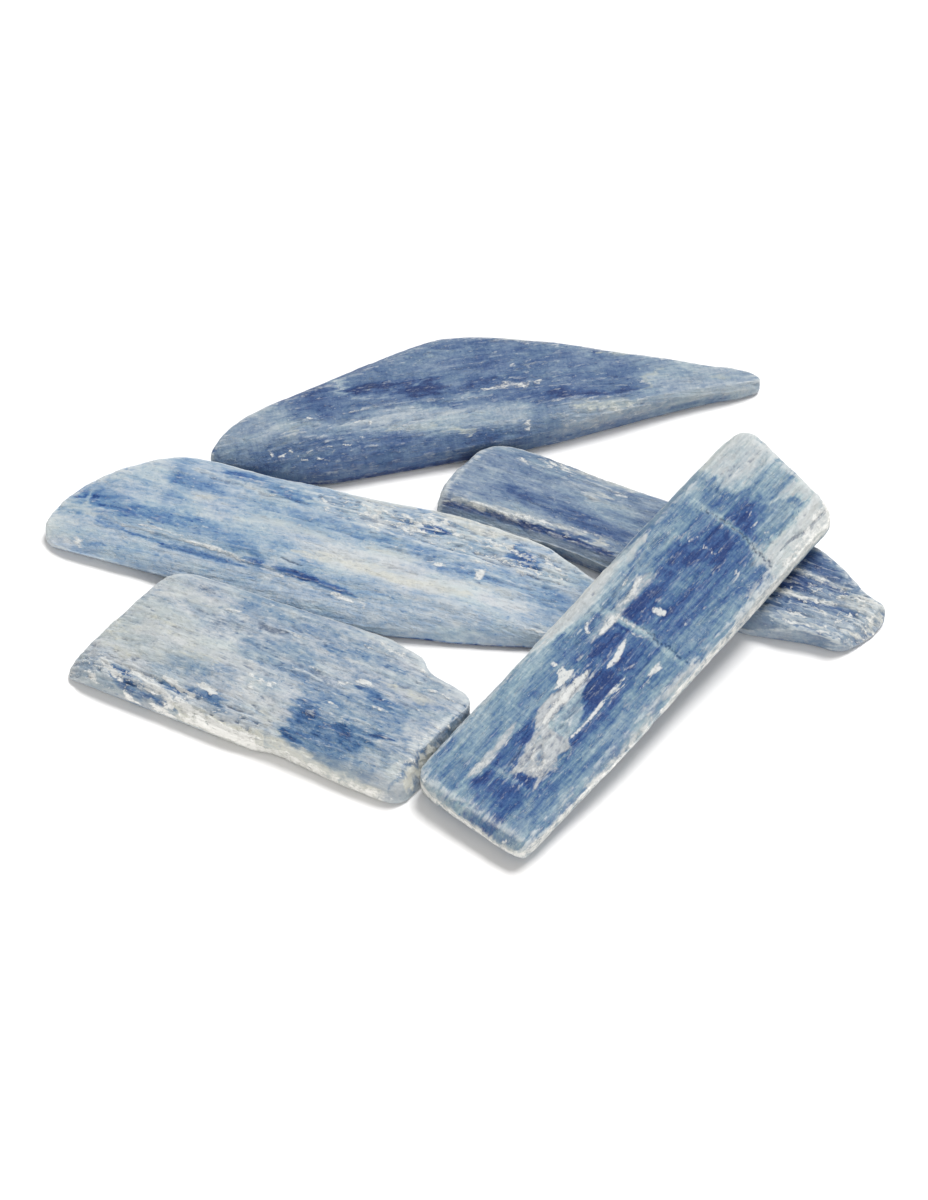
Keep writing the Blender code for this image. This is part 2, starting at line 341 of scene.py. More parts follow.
def carve(node, place, seed, marks, squeeze=0.45, voxel=0.14, wear=10, striae=1.0, steps=1.0, rim=1.0,
          melt=0.0):
    """One finished blade. marks lays this blade's own marks on its skin."""
    mesh = blank(node, place, squeeze, voxel)
    co = coordinates(mesh)
    edges = np.empty(len(mesh.edges) * 2, np.int32)
    mesh.edges.foreach_get("vertices", edges)
    links = neighbours(edges.reshape(-1, 2), len(co))
    for _ in range(wear):
        co = co * 0.5 + mean_of(co, links) * 0.5
    # the front shoulder is rolled by wear, above the foot of the side
    if melt > 0:
        broad = co
        for _ in range(110):
            broad = broad * 0.3 + mean_of(broad, links) * 0.7
        mesh.vertices.foreach_set("co", broad.astype(np.float32).ravel())
        front = -normals(mesh)[:, 1]
        rolled = (melt * ramp(0.03, 0.35, front) * ramp(0.5, 1.8, broad[:, 2]))[:, None]
        co = co * (1 - rolled) + broad * rolled
    # how sharply the worn blade still bends: its rim and the creases between its slopes
    mesh.vertices.foreach_set("co", co.astype(np.float32).ravel())
    facing = normals(mesh)
    wide = co
    for _ in range(30):
        wide = wide * 0.3 + mean_of(wide, links) * 0.7
    crease = np.einsum("ij,ij->i", co - wide, facing)
    crease = np.clip(crease / 0.16, -1, 1)
    co[:, 0] /= squeeze
    mesh.vertices.foreach_set("co", co.astype(np.float32).ravel())
    skin = Skin(co, normals(mesh), seed)
    marks(skin)
    x, y, z = skin.x, skin.y, skin.z
    broken = np.clip(skin.rough, 0, 1)

    # level ground: striae, then cleavage steps, each a thin lamella that ends in a ragged line
    striation = (0.50 * noise(x * 0.030, y * 1.05, seed + 20) + 0.32 * noise(x * 0.07, y * 2.3, seed + 21)
                 + 0.18 * noise(x * 0.17, y * 4.0, seed + 22))
    lamella = (fractal(x * 0.045, y * 0.34, seed + 23, 3, 0.5) * 2.6 + 0.35 * skin.fibre
               + 0.30 * skin.crumb)
    tread = np.floor(lamella * 1.8)
    part = lamella * 1.8 - tread
    terrace = (tread + ramp(0.82, 1.0, part)) / 1.8
    broken_lamella = (fractal(x * 0.13, y * 0.85, seed + 25, 3, 0.55) * 2.4 + 0.40 * skin.fibre
                      + 0.45 * skin.crumb)
    broken_tread = np.floor(broken_lamella * 2.2)
    broken_part = broken_lamella * 2.2 - broken_tread
    splinter = (broken_tread + ramp(0.78, 1.0, broken_part)) / 2.2
    pits = ramp(0.30, 0.70, noise(x * 0.8, y * 1.6, seed + 27)) * broken
    ground = (0.045 * striae * striation * (1 + broken)
              + 0.100 * steps * terrace * (1 - 0.6 * broken)
              + 0.200 * splinter * broken - 0.20 * pits
              + 0.055 * skin.crumb + (0.015 + 0.05 * broken) * skin.grit
              + 0.14 * noise(x * 0.055, y * 0.14, seed + 28))
    ground = ground + skin.relief
    height = ground - 0.16
    height = np.where(height > -0.02, -0.02 + (height + 0.02) * 0.25, height)
    height = np.maximum(height, -0.8)

    # the worn rim has chips out of it, long ones on the sides and short ones on the ends
    along_side = np.abs(skin.n[:, 1])
    blend_side = ramp(0.35, 0.8, along_side)
    bite = (ramp(0.15, 0.65, noise(x * 0.26, y * 0.20 + z * 0.5, seed + 35)) * blend_side
            + ramp(0.15, 0.65, noise(x * 0.8, y * 0.55 + z * 0.5, seed + 36)) * (1 - blend_side))
    bite = bite + 0.6 * ramp(0.1, 0.6, skin.crumb)
    edge_zone = np.clip(crease, 0, 1) * skin.upper
    chip = rim * 0.17 * bite * edge_zone

    # the long sides show the edges of the lamellae, and the ends break across them
    layer = (fractal(x * 0.07, z * 1.7, seed + 30, 4, 0.6)
             + 0.5 * noise(x * 0.5, z * 1.3 + 7.3, seed + 31))
    layer_step = np.floor(layer * 3.0) / 3.0
    dent = ramp(0.30, 0.85, noise(x * 0.42, z * 0.25 + y * 0.12, seed + 32)) \
        + 0.5 * ramp(0.2, 0.8, noise(x * 1.3, z * 0.6 + y * 0.4, seed + 33))
    side_in = 0.03 + 0.05 * (layer + 1) + 0.07 * (layer_step + 1) + 0.09 * dent
    end_layer = fractal(y * 0.55, z * 1.3 + x * 0.3, seed + 34, 4, 0.6)
    end_in = 0.04 + 0.10 * (end_layer + 1) + 0.07 * (np.floor(end_layer * 3) / 3 + 1)
    inward = side_in * blend_side + end_in * (1 - blend_side)
    inward = np.clip((inward - np.mean(inward)) * 0.85 - 0.02, -0.10, 0.45)

    # the underside lies on its high points
    below = 0.05 + 0.03 * striation + 0.05 * np.floor(
        fractal(x * 0.04, y * 0.35, seed + 40, 3, 0.5) * 4) / 4 + 0.02 * skin.grit
    below = np.clip(below, 0.0, 0.2)

    flat = np.hypot(skin.n[:, 0], skin.n[:, 1])
    way = np.stack([skin.n[:, 0] / np.maximum(flat, 1e-6), skin.n[:, 1] / np.maximum(flat, 1e-6)], 1)
    made = co - skin.n * chip[:, None]
    made[:, 2] += skin.top * height + skin.under * below
    made[:, 0] -= way[:, 0] * inward * skin.side
    made[:, 1] -= way[:, 1] * inward * skin.side
    made[:, 2] += 0.35 * height * skin.side * skin.upper

    # what stands proud is painted pale, partly as wear and partly as painted highlight on the rims; what lies low is
    # painted darker, as painted shade
    mesh.vertices.foreach_set("co", made.astype(np.float32).ravel())
    turned = normals(mesh)
    squeezed = made.copy()
    squeezed[:, 0] *= squeeze
    fine = squeezed
    for _ in range(3):
        fine = fine * 0.4 + mean_of(fine, links) * 0.6
    wide = fine
    for _ in range(16):
        wide = wide * 0.3 + mean_of(wide, links) * 0.7
    proud = np.einsum("ij,ij->i", squeezed - fine, turned)
    stands = np.einsum("ij,ij->i", fine - wide, turned)
    edge = np.clip(proud * 16.0, -1, 1) * 0.45 + np.clip((stands - 0.02 * crease) * 7.0, -1, 1) * 0.6
    edge = edge + rim * 0.65 * np.clip(crease, 0, 1) * (0.55 + 0.9 * skin.crumb) * skin.upper
    edge = np.clip(edge, -1, 1)

    own = mesh.attributes.new("own", "FLOAT_VECTOR", "POINT")
    own.data.foreach_set("vector", made.astype(np.float32).ravel())
    for name, values in (("tone", skin.tone), ("cream", skin.cream), ("chalk", skin.chalk),
                         ("dark", skin.dark), ("broken", skin.rough), ("edge", edge),
                         ("flank", ramp(0.95, 0.45, skin.n[:, 2]) * skin.upper)):
        layer_of = mesh.attributes.new(name, "FLOAT", "POINT")
        layer_of.data.foreach_set("value", values.astype(np.float32))

    mesh.vertices.foreach_set("co", (made * MM).astype(np.float32).ravel())
    mesh.transform(place)
    mesh.update()
    mesh.shade_smooth()
    mesh.materials.clear()
    mesh.name = node.replace("_blade", "_stone")
    made_object = bpy.data.objects.new(node.replace("_blade", "_stone"), mesh)
    bpy.context.scene.collection.objects.link(made_object)
    return made_object


# --- the material ----------------------------------------------------------------------------
BRIGHT = 0.745     # the studio's light over white paper's, so colours are given as they look in it


def srgb(r, g, b):
    def lin(v):
        v = v / 255.0
        return BRIGHT * (v / 12.92 if v <= 0.04045 else ((v + 0.055) / 1.055) ** 2.4)
    return lin(r), lin(g), lin(b), 1.0


def kyanite(name, colours, seed, cream_colour=(214, 214, 204), streaks=1.0, hatch=0.10, flecks=1.0,
            crumbs=1.0, long=1.0, rubbed_and_lit=1.0, painted_side_light=1.0, gloss=0.44):
    """Striated kyanite. colours are the stops of its tone, from pale to navy."""
    mat = bpy.data.materials.new(name)
    mat.use_nodes = True
    tree = mat.node_tree
    tree.nodes.clear()
    make = tree.nodes.new
    link = tree.links.new

    def value(node, socket, what):
        if isinstance(what, (int, float)):
            node.inputs[socket].default_value = what
        else:
            link(what, node.inputs[socket])

    def calc(kind, a, b, c=None, clamp=False):
        node = make("ShaderNodeMath")
        node.operation = kind
        node.use_clamp = clamp
        value(node, 0, a)
        value(node, 1, b)
        if c is not None:
            value(node, 2, c)
        return node.outputs[0]

    def total(*terms):
        out = terms[0]
        for term in terms[1:]:
            out = calc("ADD", out, term)
        return out

    def swing(grain_of, much):
        """A grain about zero, times much."""
        return calc("MULTIPLY", calc("SUBTRACT", grain_of, 0.5), much)

    def attribute(which, output="Fac"):
        node = make("ShaderNodeAttribute")
        node.attribute_type = "GEOMETRY"
        node.attribute_name = which
        return node.outputs[output]

    def between(v, lo, hi, to_lo=0.0, to_hi=1.0):
        node = make("ShaderNodeMapRange")
        node.interpolation_type = "SMOOTHSTEP"
        value(node, "Value", v)
        node.inputs["From Min"].default_value = lo
        node.inputs["From Max"].default_value = hi
        node.inputs["To Min"].default_value = to_lo
        node.inputs["To Max"].default_value = to_hi
        return node.outputs["Result"]

    def mix(fac, a, b, kind="MIX"):
        node = make("ShaderNodeMix")
        node.data_type = "RGBA"
        node.blend_type = kind
        node.clamp_factor = True
        value(node, "Factor", fac)
        for socket, what in ((6, a), (7, b)):
            if isinstance(what, tuple):
                node.inputs[socket].default_value = what
            else:
                link(what, node.inputs[socket])
        return node.outputs[2]

    where = attribute("own", "Vector")      # the blade's own frame, in millimetres

    def grain(per_mm, detail=4.0, rough=0.6, shift=0.0, twist=0.0):
        """Noise with this many cells per millimetre along x, y and z."""
        spread = make("ShaderNodeMapping")
        spread.vector_type = "POINT"
        spread.inputs["Scale"].default_value = per_mm
        spread.inputs["Location"].default_value = (seed * 1.7 + shift, seed * 0.9 - shift, shift * 0.5)
        link(where, spread.inputs["Vector"])
        cells = make("ShaderNodeTexNoise")
        cells.noise_dimensions = "3D"
        link(spread.outputs["Vector"], cells.inputs["Vector"])
        cells.inputs["Scale"].default_value = 1.0
        cells.inputs["Detail"].default_value = detail
        cells.inputs["Roughness"].default_value = rough
        cells.inputs["Distortion"].default_value = twist
        return cells.outputs["Fac"]

    fibre = grain((0.34 / long, 1.8, 1.4), 4.0, 0.60)
    lamina = grain((0.05, 0.62, 0.5), 3.0, 0.55, 7.0, 0.3)
    hair = grain((0.9 / long, 6.0, 4.5), 3.0, 0.62, 11.0)
    cloud = grain((0.20, 0.42, 0.42), 5.0, 0.66, 23.0, 0.6)
    crumb = grain((0.75, 1.10, 1.10), 4.0, 0.64, 29.0, 0.5)
    speck = grain((2.2, 3.4, 3.4), 3.0, 0.62, 37.0)
    across = grain((2.4, 0.30, 0.5), 3.0, 0.6, 51.0)
    fleck = grain((1.0, 2.1, 2.1), 3.0, 0.55, 67.0, 0.4)
    shadow_fleck = grain((0.8, 2.3, 2.3), 3.0, 0.55, 83.0, 0.4)
    wisp = grain((0.30, 1.9, 1.9), 3.0, 0.55, 109.0, 0.8)
    gate = grain((0.35, 0.8, 0.8), 3.0, 0.6, 127.0)

    # tone
    tone = total(attribute("tone"), swing(fibre, 0.62 * streaks), swing(hair, 0.18 * streaks),
                 swing(lamina, 0.42 * streaks), swing(cloud, 0.78), swing(crumb, 0.76 * crumbs),
                 swing(speck, 0.20 * crumbs), swing(across, 2.4 * hatch))
    dark_fleck = between(total(shadow_fleck, swing(speck, 0.3)), 0.61, 0.73)
    tone = total(tone, calc("MULTIPLY", dark_fleck, 0.18 * flecks))
    # thin threads, pale and dark, broken along their length
    thread = calc("ABSOLUTE", calc("SUBTRACT", wisp, 0.5), 0.0)
    thread = calc("MULTIPLY", between(thread, 0.018, 0.004), between(gate, 0.52, 0.62))
    shade_thread = calc("ABSOLUTE", calc("SUBTRACT", wisp, 0.56), 0.0)
    shade_thread = calc("MULTIPLY", between(shade_thread, 0.016, 0.004), between(gate, 0.46, 0.38))
    tone = total(tone, calc("MULTIPLY", shade_thread, 0.22 * streaks))
    stops = make("ShaderNodeValToRGB")
    stops.color_ramp.interpolation = "LINEAR"
    while len(stops.color_ramp.elements) > 1:
        stops.color_ramp.elements.remove(stops.color_ramp.elements[-1])
    for k, colour in enumerate(colours):
        at = k / (len(colours) - 1)
        stop = stops.color_ramp.elements[0] if k == 0 else stops.color_ramp.elements.new(at)
        stop.position = at
        stop.color = srgb(*colour)
    link(tone, stops.inputs["Fac"])
    base = stops.outputs["Color"]

    # the sides are painted lighter than the cleavage face, as painted light on the sides
    base = mix(attribute("flank"), base, (painted_side_light, painted_side_light, painted_side_light, 1.0), "MULTIPLY")

    # the blue leans towards teal in some places and towards lilac in others
    drift = between(grain((0.12, 0.30, 0.30), 3.0, 0.6, 41.0), 0.42, 0.62)
    base = mix(calc("MULTIPLY", drift, 0.50), base, (0.88, 0.98, 0.96, 1.0), "MULTIPLY")
    lilac = between(grain((0.10, 0.35, 0.35), 3.0, 0.6, 97.0), 0.50, 0.66)
    base = mix(calc("MULTIPLY", lilac, 0.35), base, (1.0, 0.965, 1.0, 1.0), "MULTIPLY")

    # pale flecks and threads all over, fewer where the blue is deep
    sparse = between(attribute("tone"), 0.95, 0.50, 0.45, 1.0)
    light_fleck = between(total(fleck, swing(speck, 0.5)), 0.62, 0.76)
    base = mix(calc("MULTIPLY", calc("MULTIPLY", light_fleck, sparse), 0.46 * flecks), base, srgb(214, 221, 225))
    base = mix(calc("MULTIPLY", calc("MULTIPLY", thread, sparse), 0.50 * streaks), base, srgb(214, 221, 225))

    # cream inclusions, a glow with crumbs in it rather than a patch
    fray = total(1.0, swing(crumb, 2.6), swing(fibre, 1.6), swing(speck, 0.8))
    cream = between(calc("MULTIPLY", attribute("cream"), fray), 0.06, 0.95)
    cream_mottle_and_side_light = mix(between(crumb, 0.38, 0.60), srgb(*[v - 14 for v in cream_colour]), srgb(*cream_colour))
    # on the sides the cream is painted lighter, as painted light on the sides
    cream_mottle_and_side_light = mix(calc("MULTIPLY", attribute("flank"), 0.7), cream_mottle_and_side_light, (0.80, 0.785, 0.70, 1.0))
    base = mix(calc("MULTIPLY", cream, 0.92), base, cream_mottle_and_side_light)

    # cracks and pits
    crack_fray = total(1.0, swing(hair, 1.4), swing(speck, 1.4), swing(crumb, 1.6))
    cracks = between(calc("MULTIPLY", attribute("dark"), crack_fray), 0.16, 0.90)
    base = mix(calc("MULTIPLY", cracks, 0.66), base, srgb(56, 78, 110))

    # the sides are painted paler than the ground above them, partly as rubbed wear and partly as painted light on the
    # sides
    side_wear_and_light = calc("MULTIPLY", attribute("flank"), between(total(crumb, swing(fibre, 0.6)), 0.36, 0.62))
    base = mix(calc("MULTIPLY", side_wear_and_light, 0.40 * rubbed_and_lit), base, srgb(214, 219, 218))

    # proud edges are painted paler, partly as wear and partly as painted highlight on the rims; hollows are painted a
    # little darker, as painted shade
    proud_or_low = attribute("edge")
    wear_and_rim_highlight = between(total(proud_or_low, swing(hair, 0.35), swing(speck, 0.45), swing(crumb, 0.6)), 0.06, 0.72)
    base = mix(calc("MULTIPLY", wear_and_rim_highlight, 0.78), base, srgb(222, 228, 229))
    painted_hollow_shade = between(total(calc("MULTIPLY", proud_or_low, -1.0), swing(speck, 0.25)), 0.05, 0.62)
    base = mix(calc("MULTIPLY", painted_hollow_shade, 0.45), base, srgb(46, 76, 120))

    # white splinters: laid ones, and a few of the stone's own wherever the ground is broken
    loose = calc("MULTIPLY", attribute("broken"), between(total(crumb, swing(speck, 0.7), swing(fibre, 0.5)),
                                                          0.53, 0.68))
    chalk_fray = total(1.0, swing(crumb, 3.0), swing(speck, 1.8), swing(fibre, 1.6))
    white = calc("MULTIPLY", attribute("chalk"), chalk_fray)
    white = total(white, calc("MULTIPLY", loose, 0.62))
    white = between(white, 0.18, 0.80)
    # on the sides the white is painted lighter, as painted light on the sides
    white_with_side_light = mix(attribute("flank"), srgb(236, 238, 236), (0.90, 0.89, 0.85, 1.0))
    base = mix(calc("MULTIPLY", white, 0.94), base, white_with_side_light)

    # gloss: pearly on the cleavage face, dull on cream, chalk and broken ground
    rough = total(gloss, calc("MULTIPLY", white, 0.18), calc("MULTIPLY", cream, 0.12),
                  calc("MULTIPLY", attribute("broken"), 0.06), swing(fibre, 0.45), swing(speck, 0.25))
    rough = calc("MAXIMUM", rough, 0.22)

    # fine relief below the mesh's own
    high = total(calc("MULTIPLY", hair, 0.5), calc("MULTIPLY", fibre, 1.0), calc("MULTIPLY", crumb, 1.3),
                 calc("MULTIPLY", speck, 0.6), calc("MULTIPLY", white, 0.35),
                 calc("MULTIPLY", light_fleck, 0.20), calc("MULTIPLY", thread, 0.2),
                 calc("MULTIPLY", across, 2.5 * hatch))
    high = calc("SUBTRACT", high, calc("MULTIPLY", cracks, 0.6))
    bump = make("ShaderNodeBump")
    bump.inputs["Strength"].default_value = 0.9
    bump.inputs["Distance"].default_value = 0.15 * MM
    link(high, bump.inputs["Height"])

    shader = make("ShaderNodeBsdfPrincipled")
    link(base, shader.inputs["Base Color"])
    link(rough, shader.inputs["Roughness"])
    link(bump.outputs["Normal"], shader.inputs["Normal"])
    shader.inputs["IOR"].default_value = 1.5
    shader.inputs["Specular IOR Level"].default_value = 0.18
    out = make("ShaderNodeOutputMaterial")
    link(shader.outputs["BSDF"], out.inputs["Surface"])
    return mat


# --- where each blade lies, as the CAD lays it out ----------------------------------------------
def lying(at, turn):
    return (Matrix.Translation(Vector((ROOT[0] + at[0], ROOT[1] + at[1], 0.0)) * MM)
            @ Matrix.Rotation(math.radians(turn), 4, "Z"))


def leaning(at, lift, turn, lean, heading):
    axis = Vector((math.sin(math.radians(heading)), -math.cos(math.radians(heading)), 0.0))
    return (Matrix.Translation(Vector((ROOT[0] + at[0], ROOT[1] + at[1], lift)) * MM)
            @ Matrix.Rotation(math.radians(lean), 4, axis)
            @ Matrix.Rotation(math.radians(turn), 4, "Z"))


# --- back blade: steel blue with a broken navy band down its middle --------------------------------
def back_marks(s):
    s.tone[:] = 0.66 + 0.10 * fractal(s.x * 0.06, s.y * 0.4, s.seed + 60, 3)
    # the pale right end, the paler left tip and a lighter ridge along the back
    s.wash(0.28, 0.85, (21.5, 7.4), (21.0, 4.0), (22.0, 1.4), (21.0, -2.0), (28, -2), (38, -1.5), (39, 3), (30, 5.4), soft=1.6)
    s.wash(0.54, 0.60, (9, 12), (13, 6.4), (22, 5.4), (24, 7.2), (14, 10.4), soft=1.4)
    s.wash(0.28, 0.75, (-38, 1), (-35.5, 4.4), (-29, 7.6), (-25.5, 6.0), (-26.5, 3.0), (-31, 0.6), (-36, 0.4), soft=1.2)
    s.wash(0.56, 0.55, (-14, 12), (-6, 13.8), (2, 13.2), (6, 10.8), (-4, 9.6), (-13, 9.6), soft=1.4)
    # the navy band
    s.wash(0.84, 0.85, (-23.9, 5.2), (-23.2, 8.4), (-21.0, 9.6), (-19.8, 8.6), (-20.4, 6.4), (-22.0, 5.0), soft=0.9)
    s.wash(0.88, 0.85, (-17.8, 6.2), (-17.2, 8.4), (-12.5, 8.0), (-8.0, 8.2), (-5.2, 6.6), (-4.4, 4.4), (-9.4, 4.2),
           (-11.0, 6.0), (-14.0, 6.0), soft=0.7)
    s.wash(0.98, 0.90, (-9.6, 4.4), (-9.8, 6.0), (-7.4, 7.0), (-5.2, 6.4), (-4.4, 4.6), (-6.6, 4.1), soft=0.5)
    s.tint(1.05, 0.85, 0.9, (-17.4, 6.8), (-14, 7.5), (-10.6, 7.4))
    s.tint(0.84, 0.80, 1.8, (-5, 4.7), (-1, 5.0), (3, 4.8), (7, 5.0))
    s.wash(0.82, 0.85, (0.4, 3.6), (1.0, 2.2), (6.0, 1.4), (9.5, 0.2), (15.0, 0.0), (20.4, 0.0), (20.0, 1.6),
           (14.0, 2.2), (9.0, 3.0), (4.0, 3.4), soft=0.6)
    s.tint(0.98, 0.85, 1.2, (8.2, 1.9), (11.5, 1.4), (14.5, 0.7))
    s.tint(0.92, 0.80, 1.0, (15.6, 0.6), (18.0, 0.9), (20.2, 0.5))
    s.tint(0.72, 0.55, 1.6, (12, 6.4), (17, 5.6), (20.5, 4.8))
    # grey and pale ground below the band
    s.wash(0.25, 0.90, (-20, 1.8), (-12, 3.0), (-2, 1.4), (6, 0.6), (4, -2.4), (-6, -1.8), (-16, -0.6), (-22, 0.0), soft=1.4)
    s.wash(0.34, 0.60, (-28.5, 0.2), (-28, 4.4), (-24, 3.6), (-20, 1.6), (-23, 0.0), soft=1.0)
    s.wash(0.36, 0.60, (2.0, -3.6), (3.0, -0.8), (10, -0.4), (20.6, -0.4), (20.4, -2.0), (11, -3.4), soft=0.9)
    s.tint(0.30, 0.60, 1.8, (-13, -1.0), (-8, -1.2), (-3, -2.2))
    s.lay("cream", 0.46, 2.2, (-27, 2.0), (-25, 1.4))
    s.lay("cream", 0.60, 1.3, (-5.2, -2.2), (-3.2, -2.6))
    s.lay("cream", 0.45, 0.9, (-14, -0.5), (-10.5, -1.1), (-7.5, -1.0))
    s.lay("cream", 0.62, 1.6, (12.0, -1.0), (15, -1.4), (18.5, -1.4))
    s.lay("cream", 0.50, 1.1, (21.6, 0.6), (22.8, 2.6), (23.8, 4.6))
    s.lay("cream", 0.46, 1.2, (31.6, 2.2), (33.4, 1.8))
    s.lay("cream", 0.50, 0.7, (2.2, 13.2), (6, 12.3), (10.5, 10.9), lens=False)
    s.lay("cream", 0.56, 0.7, (17.0, 7.8), (20.5, 7.2))
    s.lay("chalk", 0.60, 0.9, (4.6, -2.3), (4.9, -3.2))
    # a grey-white scar at the head of the band, and wisps in it
    s.tint(0.20, 0.75, 1.7, (-19.0, 9.6), (-18.3, 8.4), (-17.9, 7.4), lens=False)
    s.lay("chalk", 0.46, 0.45, (-18.9, 9.4), (-18.4, 8.4), (-18.7, 7.6))
    s.tint(0.30, 0.70, 0.7, (-16.8, 5.7), (-14.2, 5.3))
    s.tint(0.42, 0.65, 0.6, (-12.5, 5.4), (-10.8, 6.6))
    s.tint(0.40, 0.60, 0.5, (-9.0, 7.9), (-7.4, 6.2), fray=1.2)
    s.tint(0.34, 0.65, 1.5, (-4.2, 2.9), (-2.6, 3.4), (-1.0, 3.0))
    s.lay("chalk", 0.56, 0.9, (1.4, 3.9), (3.4, 4.3), (6.2, 3.9))
    s.lay("chalk", 0.55, 0.6, (7.2, 4.1), (8.4, 3.8))
    s.lay("chalk", 0.55, 0.6, (4.0, 7.4), (4.9, 7.9))
    s.lay("chalk", 0.58, 0.5, (-18.6, 1.4), (-16.6, 1.7), (-15.2, 0.9))
    s.lay("chalk", 0.46, 0.5, (-24.2, 3.4), (-23.2, 3.1))
    s.lay("chalk", 0.48, 0.4, (-10.2, 2.8), (-9.4, 2.4))
    s.lay("chalk", 0.48, 0.4, (-7.8, 2.5), (-6.9, 2.3))
    s.lay("chalk", 0.40, 0.8, (-12.4, -0.6), (-9.6, -1.2))
    s.lay("chalk", 0.40, 0.6, (20.5, 2.6), (22.0, 1.8))
    # the blue roll of the front edge, with a frosting of white specks over it
    s.wash(0.70, 0.85, (-36, -0.4), (-31, -0.8), (-25, -2.3), (-16, -2.8), (-8, -3.6), (1, -3.9), (1, -5.8), (-40, -5.8), soft=0.9)
    for x, y in ((-29.6, -0.5), (-28.2, -0.9), (-27.0, -0.7), (-26.2, -1.7), (-25.3, -2.3), (-24.4, -1.5), (-23.6, -2.7),
                 (-22.4, -1.7), (-21.5, -2.4), (-19.8, -1.9), (-18.2, -1.1)):
        s.lay("chalk", 0.62, 0.45, (x, y), (x + 0.5, y - 0.1))
    s.lay("rough", 0.45, 4.0, (-28, 1.5), (-18, 1.0), (-8, -0.5))
    s.lay("rough", 0.45, 2.6, (-30, -0.8), (-22, -1.8))
    s.lay("rough", 0.45, 3.0, (8, -1.0), (20, -1.2))
    s.lay("rough", 0.45, 2.4, (-3, 4.4), (8, 4.0))
    s.ledge(0.12, 1.6, (-22, 3.4), (-10, 3.6), (2, 2.4), left=False)
    s.ledge(0.12, 1.4, (-4, 4.6), (6, 3.3), (14, 2.2), (22, 1.6))
    s.ledge(0.10, 1.2, (5, -0.2), (12, -0.1), (21, -0.1), left=False)
    # painted shade: the front side darkened towards navy near the table
    s.foot(1.15, 0.95, 0.5, 1.7, -26, 2)
    s.foot(0.98, 0.85, 0.4, 1.5, -40, -20)
    s.foot(0.62, 0.70, -1.0, 0.5, 3, 40)
    # the front side painted cream and white, partly its own colour and partly painted light on the side
    s.flank("cream", 0.32, 1.4, 4.6, 8, 40, fray=1.2)
    s.flank("chalk", 0.14, 1.4, 4.6, 8, 40, fray=1.2)


